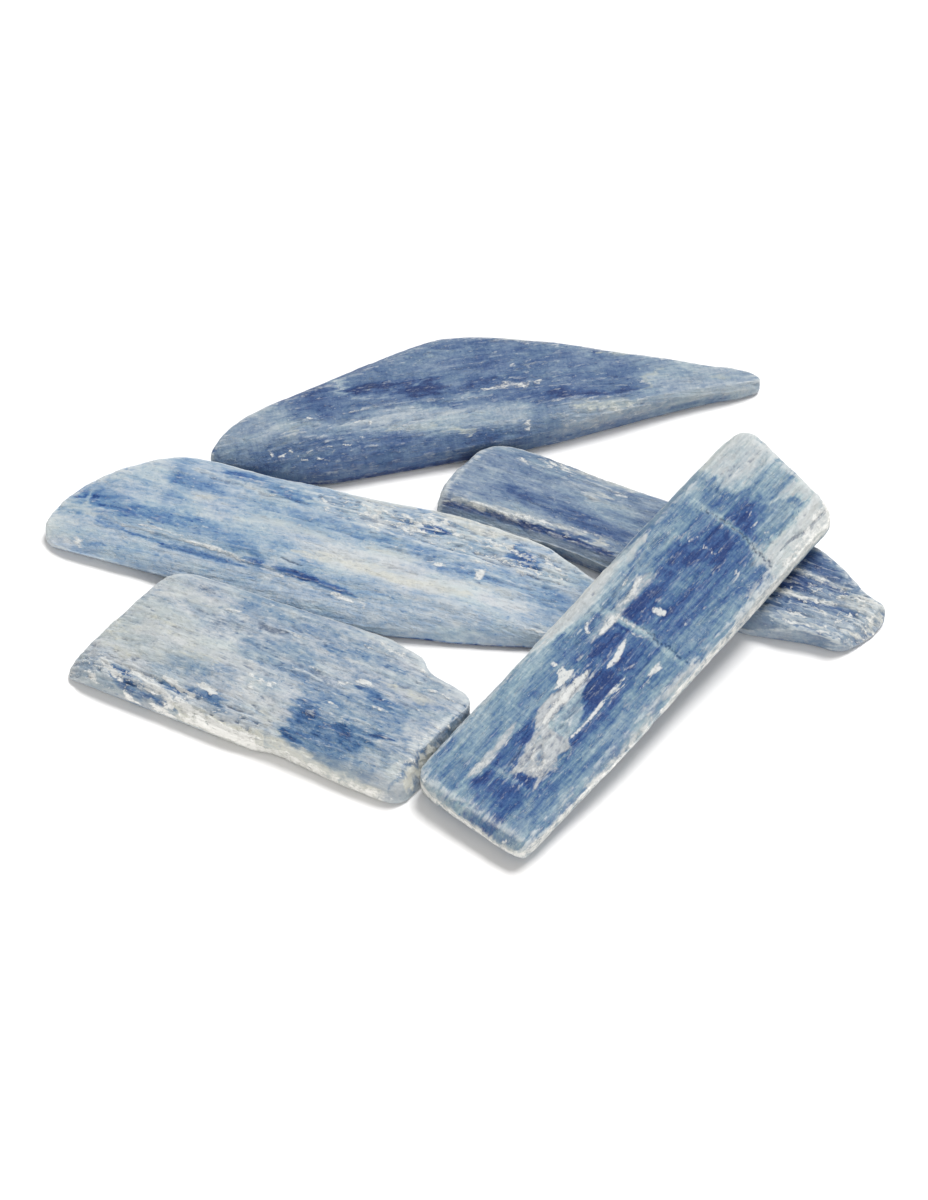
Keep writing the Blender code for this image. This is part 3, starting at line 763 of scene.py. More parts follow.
# --- left blade: pale, with mid-blue bands and a splintered back rim ----------------------------------
def left_marks(s):
    s.tone[:] = 0.30 + 0.08 * fractal(s.x * 0.05, s.y * 0.4, s.seed + 60, 3)
    # the band from the left tip
    s.wash(0.56, 0.85, (-36.0, 2.2), (-33.5, 3.2), (-31, 2.5), (-28, 1.5), (-24, 0.7), (-19.6, 0.8), (-14, -0.2), (-10.4, -1.4),
           (-9.0, -3.2), (-12, -3.3), (-15, -2.9), (-18, -1.6), (-24, -1.5), (-30, -1.4), (-33, -0.5), (-36.4, 0.3), soft=0.7)
    s.wash(0.62, 0.75, (-35.4, 1.9), (-33, 2.0), (-30, 0.8), (-26.4, 0.2), (-26.2, -1.4), (-30, -1.4), (-33, -0.4), soft=0.6)
    s.tint(0.90, 0.80, 1.1, (-35.0, 1.0), (-32.2, 0.8))
    s.tint(0.86, 0.80, 1.2, (-31.0, -0.6), (-28.6, -0.8), (-26.4, -0.5))
    s.tint(0.74, 0.70, 1.2, (-25.4, -0.8), (-22.0, -0.6))
    s.tint(0.68, 0.70, 0.9, (-19.8, 0.7), (-19.6, -1.2), lens=False)
    s.tint(0.56, 0.75, 1.2, (-36.6, -1.4), (-34.2, -1.9))
    s.tint(0.08, 0.80, 0.7, (-33.7, 1.6), (-33.4, -0.5), lens=False, wander=1.0)
    s.tint(0.10, 0.70, 1.0, (-34.2, -1.0), (-32.4, -1.5), (-31.2, -1.8))
    # a finer line below it, that comes and goes
    s.tint(0.60, 0.85, 1.0, (-31.4, -2.4), (-29.6, -2.8), (-27.6, -3.1), wander=1.0)
    s.tint(0.74, 0.85, 0.7, (-28, -3.2), (-22, -4.0), (-16, -4.4), (-10, -4.8), wander=1.0)
    s.tint(0.80, 0.85, 0.8, (-10.8, -3.9), (-7.4, -4.0), wander=1.0)
    s.tint(0.88, 0.90, 0.9, (-6.4, -4.2), (-2.4, -4.7), (1.2, -5.2), (5.0, -6.0), wander=1.0)
    # the blue ground behind it
    s.wash(0.50, 0.85, (-24.2, 11.6), (-22.4, 11.6), (-21.8, 9.0), (-20, 8.0), (-14, 7.2), (-8, 6.6), (-1, 5.4), (6, 4.6),
           (6.4, 2.4), (0, 3.6), (-6, 4.6), (-12, 5.0), (-18, 5.2), (-23.6, 5.4), (-24.4, 7.6), soft=0.9)
    s.wash(0.60, 0.65, (-24.0, 5.6), (-24.0, 8.4), (-20, 7.6), (-15, 6.8), (-16, 5.6), soft=0.8)
    s.wash(0.60, 0.80, (-18.2, 10.5), (-15, 10.3), (-12, 9.6), (-8, 8.7), (-5.4, 8.0), (-5.8, 7.0), (-8, 7.2), (-12, 8.0),
           (-15.5, 8.3), (-18.2, 9.0), soft=0.5)
    s.tint(0.74, 0.75, 0.8, (-8.8, 7.6), (-7, 7.4), (-5.6, 7.3))
    s.tint(0.70, 0.65, 0.9, (-18, 9.6), (-15.4, 9.5))
    s.tint(0.08, 0.75, 0.8, (-15.5, 8.3), (-11.5, 7.1), (-7, 6.4), wander=1.0)
    s.tint(0.30, 0.60, 1.8, (-16, 6.2), (-8, 5.8), (-2, 5.8))
    s.wash(0.42, 0.80, (6, 4.6), (14, 4.6), (20, 3.2), (26, 3.0), (31.6, 3.0), (31, -0.4), (27, -0.6), (24, 0.4),
           (19, 0.2), (14.5, 1.2), (10, 2.6), (6, 2.4), soft=0.9)
    s.tint(0.52, 0.75, 1.2, (8, 3.8), (11, 3.0), (13, 2.8))
    s.tint(0.54, 0.75, 1.6, (15, 2.6), (18.6, 1.6), (22, 1.4))
    s.tint(0.56, 0.70, 2.2, (27, 1.6), (31.4, 1.0), lens=False)
    # blotches in the splintered ground
    s.wash(0.10, 0.65, (2, 9.8), (12, 9.2), (22, 8.2), (30, 6.4), (29, 5.2), (20, 6.2), (10, 7.0), (2, 7.6), soft=0.8)
    s.wash(0.56, 0.85, (6.0, 7.6), (6.3, 9.2), (7.6, 9.5), (9.2, 8.8), (9.0, 7.6), (7.6, 7.2), soft=0.5)
    s.wash(0.86, 0.90, (10.1, 6.8), (10.2, 7.8), (12.0, 8.2), (13.4, 7.6), (13.2, 6.9), (11.4, 6.6), soft=0.4)
    s.wash(0.86, 0.90, (21.2, 7.2), (22.4, 8.6), (23.5, 7.7), (25.0, 7.5), (26.4, 5.6), (24.8, 4.9), (23.2, 5.2), (21.8, 5.8),
           soft=0.5)
    s.tint(0.44, 0.70, 2.0, (16, 7.2), (20, 7.0))
    s.tint(0.50, 0.70, 1.2, (25.6, 6.6), (28.0, 6.4))
    s.tint(0.46, 0.60, 1.0, (12, -7.0), (15.4, -7.3))
    s.tint(0.42, 0.60, 1.6, (0.2, 7.4), (1.4, 6.0))
    # pale ground
    s.wash(0.02, 0.80, (-39, -2.6), (-36.6, -2.6), (-34.4, -4.4), (-33.0, -6.4), (-34, -8), (-39, -7), soft=0.7)
    s.wash(0.08, 0.70, (-31.5, 4.6), (-27.6, 8.4), (-25, 8.4), (-24.6, 6.0), (-28, 5.2), soft=0.8)
    s.wash(0.18, 0.70, (-22, 4.6), (-15, 4.8), (-9, 3.4), (-2, 2.4), (-2, -0.6), (-10, 0.4), (-18, 1.6), soft=1.2)
    s.wash(-0.04, 0.92, (-2, 1.4), (6, 1.8), (14, 0.2), (22, -0.6), (28, -1.0), (24, -3.0), (10, -3.2), (0, -2.6), soft=1.0)
    s.tint(0.14, 0.60, 4.0, (8, -4.8), (18, -5.0), (26, -4.0))
    s.tint(0.34, 0.50, 2.2, (-16, -7.6), (-6, -8.0), (4, -8.4))
    # cream
    s.lay("cream", 0.46, 1.2, (-20, 4.3), (-18, 4.6), (-15.6, 4.2))
    s.lay("cream", 0.40, 1.6, (-12, 3.2), (-6, 2.6), (0, 1.8))
    s.lay("cream", 0.62, 1.9, (-4, -1.3), (2, -1.2), (8, -1.8), (13, -2.1), (19, -1.9))
    s.lay("cream", 0.80, 1.1, (5.5, -1.8), (9.5, -2.2), (13, -2.2))
    s.lay("cream", 0.50, 1.2, (5, 1.6), (8, 1.9), (11, 1.2))
    s.lay("cream", 0.46, 1.0, (19, -0.2), (23, 0.0), (26, 0.4))
    s.blot("cream", 0.72, (8, 12), (13.4, 9.6), (16, 8.7), (18, 8.3), (19.6, 8.6), (21, 9.2), (25.2, 8.9), (27, 9.4), (20, 11), (12, 12.5))
    s.lay("cream", 0.56, 1.4, (-1, 10.6), (6, 10.7), lens=False)
    s.lay("cream", 0.45, 1.2, (26, 8.6), (30, 7.0))
    # white splinters
    s.lay("chalk", 0.72, 0.5, (-19.2, -3.0), (-15.5, -3.4), (-10.6, -4.0))
    s.lay("chalk", 0.50, 0.4, (-25, -2.1), (-22, -2.3), (-19.8, -2.6))
    s.lay("chalk", 0.55, 0.35, (-9, -4.5), (-6.6, -4.7), (-4.8, -5.3))
    s.lay("chalk", 0.82, 0.5, (1.8, -5.9), (3.2, -6.3), (4.7, -6.7), fray=0.3)
    s.lay("chalk", 0.50, 0.4, (5.0, -5.8), (5.8, -6.5), (6.6, -7.4), fray=0.3)
    s.lay("chalk", 0.66, 0.7, (-4.0, 8.6), (-3.0, 7.8), (-2.3, 6.8), fray=0.3)
    s.blot("chalk", 0.52, (2.0, 9.0), (3.8, 8.6), (4.8, 7.2), (5.4, 5.4), (4.2, 5.0), (2.8, 6.2), (2.0, 7.4), soft=0.7, fray=0.9)
    s.lay("chalk", 0.82, 0.8, (3.2, 5.9), (4.6, 5.1), fray=0.3)
    s.lay("chalk", 0.60, 0.8, (2.2, 8.4), (3.2, 7.6))
    s.lay("chalk", 0.50, 0.6, (-0.6, 6.2), (0.2, 5.4))
    s.lay("chalk", 0.52, 0.7, (6.4, 7.0), (7.8, 6.6), (9.4, 6.4))
    s.lay("chalk", 0.45, 0.5, (9.4, 9.6), (10.0, 8.4))
    for k in range(10):
        s.lay("chalk", 0.62, 0.55, (1.0 + 2.8 * k, 9.5 - 0.22 * k), (2.6 + 2.8 * k, 9.0 - 0.24 * k), (4.2 + 2.8 * k, 8.2 - 0.26 * k))
        s.lay("chalk", 0.42, 0.45, (2.2 + 2.8 * k, 7.6 - 0.28 * k), (3.8 + 2.8 * k, 7.3 - 0.30 * k), (5.4 + 2.8 * k, 6.7 - 0.30 * k))
    s.lay("chalk", 0.80, 0.55, (10.6, 10.2), (10.7, 9.0), (11.6, 8.6), (12.6, 9.0), (12.8, 10.0), lens=False, fray=0.3)
    s.lay("chalk", 0.46, 0.8, (16.5, 9.4), (19.4, 9.0))
    s.lay("chalk", 0.52, 0.7, (17.5, 3.3), (19.4, 3.5), (21.4, 3.3))
    s.lay("chalk", 0.50, 0.6, (23.2, 4.6), (25.0, 3.8))
    s.lay("chalk", 0.62, 0.6, (13.0, 1.6), (14.4, 1.8))
    # painted highlight: a bright glint, a small white dab
    s.lay("chalk", 1.00, 0.75, (19.2, 1.1), (19.5, 2.0), lens=False, fray=0.1, wander=0.3)
    s.lay("chalk", 0.60, 0.45, (26.0, -4.2), (27.6, -4.4), (29.6, -4.2))
    s.lay("chalk", 0.50, 0.35, (27.4, -3.4), (29.4, -3.5))
    s.lay("chalk", 0.62, 0.8, (-33.4, -5.4), (-32.2, -6.6))
    s.lay("chalk", 0.50, 0.4, (-28.4, -2.4), (-27.4, -2.6))
    s.lay("chalk", 0.40, 0.9, (-3.0, -1.6), (-1.6, -2.4))
    # pits
    s.lay("dark", 0.72, 0.9, (11.2, 9.7), (11.9, 9.2))
    s.lay("dark", 0.66, 0.8, (18.9, 4.9), (19.8, 4.7), fray=0.9)
    s.lay("dark", 0.66, 0.9, (20.6, 5.2), (22.4, 4.4), fray=0.9)
    s.lay("dark", 0.60, 0.5, (25.2, 3.8), (26.8, 3.7), (28.6, 3.9))
    # painted shadow below that glint
    s.lay("dark", 0.62, 0.6, (19.3, 0.4), (19.9, 0.0))
    s.lay("dark", 0.55, 0.5, (3.4, 4.6), (4.8, 4.5))
    s.lay("dark", 0.50, 0.4, (27.6, -3.9), (29.2, -3.9))
    s.lay("dark", 0.45, 0.3, (-1.2, -5.9), (2.2, -6.6), (5.2, -7.4))
    s.lay("dark", 0.42, 0.4, (-18, -8.2), (-16, -8.3))
    s.lay("rough", 1.00, 5.2, (-2, 8.4), (8, 7.9), (18, 6.9), (28, 5.4), lens=False)
    s.lay("rough", 0.50, 3.0, (-20, 8.6), (-6, 8.2))
    s.lay("rough", 0.55, 3.0, (4, 3.4), (16, 2.2), (30, 1.0))
    s.lay("rough", 0.30, 3.0, (-20, -7.2), (0, -8.2))
    s.ledge(0.18, 1.6, (-31, -2.2), (-22, -2.9), (-10, -4.1), (-2, -4.9), (5.2, -6.0), left=False)
    s.ledge(0.12, 1.5, (-14, 4.4), (-4, 4.0), (6, 2.6), (14, 1.6))
    s.ledge(0.16, 1.2, (6, 6.2), (14, 5.3), (22, 4.4), (29, 3.6), left=False)
    s.ledge(0.12, 1.0, (-22, 8.6), (-12, 7.5), (-4, 6.8), left=False)
    s.groove(0.08, 0.3, (-3.2, -3.4), (-5.2, -3.0), (-6.4, -2.6))
    # painted shade: a dark line along the foot of the front side, near the table
    s.foot(1.30, 1.00, 0.2, 1.1, 8, 42)
    # white on the front sides, as painted light on the shaded sides
    s.flank("chalk", 0.16, 0.9, 3.4, -8, 40, fray=1.2)
    s.flank("chalk", 0.16, 0.8, 3.4, -40, -8)


# --- front blade: the palest, chipped along its front edge ------------------------------------------
def front_marks(s):
    s.tone[:] = 0.22 + 0.08 * fractal(s.x * 0.06, s.y * 0.4, s.seed + 60, 3)
    s.wash(0.46, 0.75, (-9, 11.6), (-8, 7.2), (-2, 6.6), (5, 6.4), (5, 12.4), soft=1.0)
    s.wash(0.38, 0.75, (6, 11), (12, 9.6), (20, 7.4), (24, 4), (22.6, -4), (19, -8), (17.6, -2), (10, 2.6), (5, 5), soft=1.0)
    s.wash(0.56, 0.75, (-5, 5.8), (-5.6, 1.6), (0, 0.6), (5, 0.4), (5.4, 6.2), (0, 6.0), soft=0.9)
    s.wash(0.30, 0.60, (5, 12), (8, 10), (14, 8.8), (20, 6.4), (21, 3.2), (10, 4.6), (5, 6.0), soft=1.0)
    s.wash(0.42, 0.75, (-13.4, -1.6), (-4.6, -1.2), (-3.4, -4.4), (-8, -5.0), (-13, -4.6), soft=0.9)
    s.tint(0.32, 0.60, 1.6, (-18.5, 9.4), (-15.6, 9.6))
    s.tint(0.50, 0.75, 2.0, (5.6, 12.0), (6.6, 9.6), lens=False)
    # the saturated patch, cut off square on its left, and what leads to it
    s.wash(0.50, 0.85, (4.9, 2.2), (5.0, -2.4), (5.0, -7.9), (17.6, -7.9), (18.4, -2.4), (19.0, 1.6), (14, 2.8), (10, 1.4), soft=0.5)
    s.wash(0.70, 0.90, (5.2, -1.8), (7.4, -1.0), (8.2, -3.0), (10.4, -3.6), (12.4, -2.2), (14.0, -3.4), (17.6, -2.8),
           (17.4, -4.4), (15.4, -5.2), (14.2, -7.3), (10, -7.8), (5.1, -7.6), soft=0.4)
    s.wash(0.88, 0.80, (5.9, -2.8), (7.6, -2.7), (8.4, -3.9), (7.8, -5.0), (6.0, -4.9), soft=0.4)
    s.wash(0.86, 0.80, (11.0, -3.2), (12.4, -2.5), (14.0, -3.8), (13.0, -5.2), (11.6, -5.2), soft=0.4)
    s.tint(0.98, 0.80, 0.9, (14.4, -3.6), (17.2, -3.2))
    s.tint(0.92, 0.75, 1.0, (5.4, -6.6), (8.2, -6.9))
    s.tint(0.60, 0.70, 1.6, (9.0, -6.0), (11.6, -6.6))
    s.tint(0.78, 0.75, 0.9, (6.0, -1.6), (8.4, -2.0))
    s.tint(0.76, 0.88, 1.3, (11.0, 2.8), (12.8, 2.7), (14.2, 2.2))
    s.tint(0.68, 0.85, 1.1, (13.8, 1.9), (16.2, 1.7), (18.6, 1.4))
    s.tint(0.66, 0.80, 1.1, (6, 0.0), (9, -0.4), (12, -0.6))
    s.tint(0.62, 0.85, 1.5, (7.6, 7.6), (10.6, 7.7), (14.2, 7.4))
    s.tint(0.74, 0.80, 1.0, (4.8, 7.2), (6.4, 7.0))
    s.tint(0.50, 0.70, 1.0, (5, 5.8), (9, 5.6), (12, 5.4))
    s.tint(0.22, 0.80, 1.2, (17.6, -7.8), (18.4, -4.0), (20.2, -0.6), lens=False)
    s.tint(0.44, 0.55, 1.4, (19.6, 0.2), (21.4, -1.8), (20.4, -4.4))
    s.tint(0.44, 0.55, 1.0, (18, 4.0), (22, 3.6))
    # grey flecks in the pale ground
    s.lay("dark", 0.40, 1.2, (-7.8, 6.9), (-4.4, 6.8), (-1.0, 6.4))
    s.lay("dark", 0.50, 1.6, (-13, 5.4), (-9, 4.8), (-5, 4.9), fray=1.4)
    s.lay("dark", 0.42, 1.4, (-4, 3.6), (0, 3.2), (3.4, 2.8), fray=1.4)
    s.lay("dark", 0.72, 0.9, (-4.6, 6.9), (-3.0, 6.5), (-1.4, 6.7), fray=0.9)
    s.lay("dark", 0.62, 0.8, (-14.6, 9.2), (-12.2, 8.8), fray=0.9)
    s.lay("dark", 0.50, 1.6, (4.8, 3.0), (6.6, 2.2), (8.6, 1.6), fray=1.0)
    s.lay("dark", 0.62, 0.6, (4.2, 7.4), (5.0, 6.8))
    s.lay("dark", 0.40, 0.5, (-13, 1.0), (-10.5, 0.8))
    s.lay("dark", 0.36, 0.7, (-12.4, -2.6), (-9.6, -2.8))
    s.lay("dark", 0.42, 0.7, (0.8, -3.0), (2.2, -4.6), fray=0.9)
    s.lay("dark", 0.42, 0.7, (-3.6, 0.0), (-2.4, -0.6), fray=0.9)
    s.blot("cream", 0.36, (-23, 5), (-17, 5.6), (-9, 2.4), (-2, 1.0), (-1.4, -0.4), (-9, -2.2), (-16, -4.6), (-23, -4.0),
           soft=1.4, fray=1.6)
    s.blot("cream", 0.34, (-21, 9), (-14, 9.4), (-9.6, 8.0), (-10, 5.6), (-18, 5.8), soft=1.2, fray=1.6)
    s.lay("cream", 0.55, 0.8, (-18.8, 2.4), (-16, 2.2), (-14.0, 2.0))
    s.lay("cream", 0.50, 0.9, (-16.8, 0.8), (-13, 0.4))
    s.lay("cream", 0.44, 1.8, (-11, -0.8), (-6, -1.2))
    s.lay("cream", 0.46, 1.6, (-21, -3.4), (-17, -4.2))
    s.lay("cream", 0.50, 2.0, (-22, 1.0), (-20, -2.4))
    s.lay("cream", 0.46, 1.0, (14.5, 4.8), (18.5, 4.6), (22, 5.0))
    s.lay("cream", 0.40, 1.8, (0.8, -5.0), (3.2, -6.4))
    # white flakes
    s.lay("chalk", 0.80, 0.8, (10.8, 3.5), (11.7, 3.8), (12.6, 3.7), fray=0.25)
    s.lay("chalk", 0.62, 0.6, (8.6, 2.6), (10.2, 2.9))
    s.lay("chalk", 0.62, 0.5, (-3.6, 0.9), (-2.6, 0.7))
    s.lay("chalk", 0.70, 0.9, (-2.8, -0.9), (-1.6, -1.3), fray=0.4)
    s.lay("chalk", 0.62, 0.7, (-0.9, -1.3), (0.0, -1.8), fray=0.4)
    s.lay("chalk", 0.55, 0.5, (-0.6, 6.8), (1.0, 7.1))
    s.lay("chalk", 0.50, 0.5, (-9.4, 7.2), (-8.0, 7.6))
    s.lay("chalk", 0.50, 0.5, (3.6, 6.1), (5.2, 5.9))
    for x in (10.2, 11.8, 13.4, 15.0):
        s.lay("chalk", 0.52, 0.4, (x, 10.8 - 0.25 * (x - 10)), (x + 1.6, 10.0 - 0.25 * (x - 10)), (x + 2.6, 9.8 - 0.3 * (x - 10)))
    s.lay("chalk", 0.42, 0.4, (18, 5.8), (20.4, 6.2), (23, 5.6))
    s.lay("chalk", 0.46, 0.4, (14.0, 1.0), (16.4, 0.6))
    s.lay("chalk", 0.45, 0.4, (9.0, -0.8), (10.2, -1.2))
    # a shallow round scar with a pale rim
    s.heap(-0.12, 4.4, (0.6, -4.6), (2.6, -4.8), fray=0.1)
    s.lay("chalk", 0.48, 0.55, (-1.9, -4.4), (-1.4, -3.0), (-0.2, -1.9), (1.6, -1.2), (3.8, -1.0), fray=0.35)
    # the chipped front left: white splinters with painted shade, dark blue, in the hollows between them
    s.tint(0.84, 0.90, 0.8, (-19.4, -5.8), (-17.2, -6.3), (-16.2, -6.9), wander=1.0)
    s.tint(0.90, 0.90, 1.0, (-19.4, -7.0), (-16.4, -7.5), (-13.0, -8.0), wander=1.0)
    s.tint(0.84, 0.88, 0.8, (-12.4, -5.9), (-9.6, -6.3), wander=1.0)
    s.tint(0.88, 0.88, 0.8, (-13.4, -7.7), (-9.8, -8.1), wander=1.0)
    s.tint(0.56, 0.75, 0.6, (-15.8, -6.4), (-13.8, -7.0), wander=1.0)
    s.wash(0.78, 0.88, (-9.2, -5.9), (-7.6, -5.2), (-5.2, -4.9), (-3.4, -5.4), (-3.2, -6.4), (-5.6, -6.2), (-8.6, -6.4), soft=0.35)
    s.tint(0.60, 0.75, 0.6, (-11.4, -7.7), (-9.2, -8.0), (-7.2, -8.1), wander=1.0)
    s.tint(0.60, 0.70, 0.6, (-4.6, -6.9), (-3.0, -7.2), wander=1.0)
    s.tint(0.46, 0.65, 1.6, (-24, -6.6), (-21.6, -7.4), (-19.4, -8.4))
    s.tint(0.48, 0.65, 0.7, (-1.2, -6.0), (0.8, -6.6))
    s.lay("dark", 0.62, 0.5, (-18.2, -6.9), (-17.4, -7.2))
    s.lay("dark", 0.58, 0.5, (-13.8, -8.3), (-12.4, -8.4))
    s.lay("dark", 0.55, 0.4, (-4.4, -6.4), (-3.6, -6.2))
    for x, y, long, wide in ((-21.6, -5.4, 3.2, 0.6), (-19.8, -6.5, 2.6, 0.6), (-17.0, -5.4, 2.4, 0.5), (-15.2, -6.0, 3.4, 0.6),
                             (-16.6, -8.2, 3.0, 0.45), (-12.6, -6.9, 3.6, 0.8), (-9.4, -7.1, 3.0, 0.7), (-9.0, -6.0, 1.4, 0.5),
                             (-12.0, -5.2, 2.6, 0.4), (-7.2, -4.5, 2.2, 0.5), (-22.8, -7.4, 2.6, 0.4)):
        s.lay("chalk", 0.92, wide + 0.1, (x, y), (x + long * 0.5, y - long * 0.14), (x + long, y - long * 0.34), fray=0.4)
    # along the front edge the cream and white are partly its own colour and partly painted light on the rim
    s.blot("cream", 0.95, (-9.6, -7.6), (-5, -7.2), (-1.6, -7.6), (2.8, -7.5), (3.0, -8.6), (0, -9.6), (-9.6, -9.6), soft=0.4)
    s.lay("chalk", 1.00, 1.1, (-8.0, -7.9), (-4.4, -8.3), (-0.6, -8.5), (1.8, -8.3), fray=0.4)
    s.lay("chalk", 0.66, 0.5, (-13.0, -8.4), (-9.4, -8.7))
    # the pale worn front edge below the patch, partly wear and partly painted light on the rim, the front side below it
    # painted cream and white, partly its own colour and partly painted light on the side, and the paler margin of the
    # right end
    s.lay("cream", 0.80, 0.8, (2.6, -7.8), (8, -8.2), (14, -8.8), (19, -8.9), lens=False, fray=0.4)
    s.flank("cream", 0.80, -0.4, 2.4, -4, 20, fray=1.4)
    s.flank("chalk", 0.55, -0.4, 2.0, -14, 21, fray=1.4)
    s.tint(0.04, 0.80, 0.9, (20.0, -8.0), (20.8, -5.0), (21.6, -2.2), (22.6, 1.0), lens=False, fray=0.6)
    s.lay("chalk", 0.45, 0.5, (20.4, -7.0), (21.2, -4.4), (22.0, -1.6), (23.2, 2.6), lens=False, fray=0.6)
    # the end face: a dark seam below the rim, then cream and blue laminae
    s.tint(0.70, 0.85, 0.5, (24.9, 6.4), (24.0, 2.4), (22.9, -1.6), (21.6, -5.2), (20.8, -8.2), lens=False, fray=0.35, wander=0.5)
    s.lay("dark", 0.42, 0.3, (24.6, 5.4), (23.9, 2.0), (22.9, -1.8), (21.7, -5.2), lens=False, wander=0.5)
    s.lay("cream", 0.95, 0.55, (23.4, -1.0), (22.7, -4.0), (21.9, -6.6), lens=False, wander=0.5, fray=0.4)
    s.tint(0.80, 0.85, 0.4, (24.2, 1.0), (23.4, -3.0), (22.6, -6.2), lens=False, wander=0.5, fray=0.4)
    s.tint(0.30, 0.70, 1.2, (26.2, 6.0), (24.8, 0.0), (22.8, -6.4), lens=False, wander=0.3)
    s.lay("rough", 0.34, 17.0, (-22, 0), (20, 0), lens=False)
    s.lay("rough", 1.00, 4.4, (-23.5, -6.0), (-15, -6.6), (-6, -6.8), (1, -7.6), lens=False)
    s.lay("rough", 0.50, 3.6, (6, 9.4), (14, 8.4), (22, 5.8))
    s.lay("rough", 0.60, 3.4, (6, -3.0), (16, -3.0))
    s.lay("rough", 0.66, 3.6, (-4, 0.4), (4, 1.6), (10, 2.6))
    s.lay("rough", 0.50, 3.6, (-9, 6.8), (2, 6.6))
    s.lay("rough", 0.40, 4.0, (-20, 1.0), (-8, 0.4))
    s.ledge(0.15, 1.6, (4.6, -2.2), (9, -2.5), (13, -2.2), (18, -2.6), left=False)
    s.ledge(0.14, 1.4, (8, 9.3), (12, 9.0), (17.4, 8.3), (22.5, 7.3), left=False)
    s.ledge(0.12, 1.4, (3, 3.4), (9, 3.0), (16, 3.2), (22, 2.6), left=False)
    s.ledge(0.20, 1.2, (-22, -5.0), (-14, -5.4), (-6, -6.4), left=False)


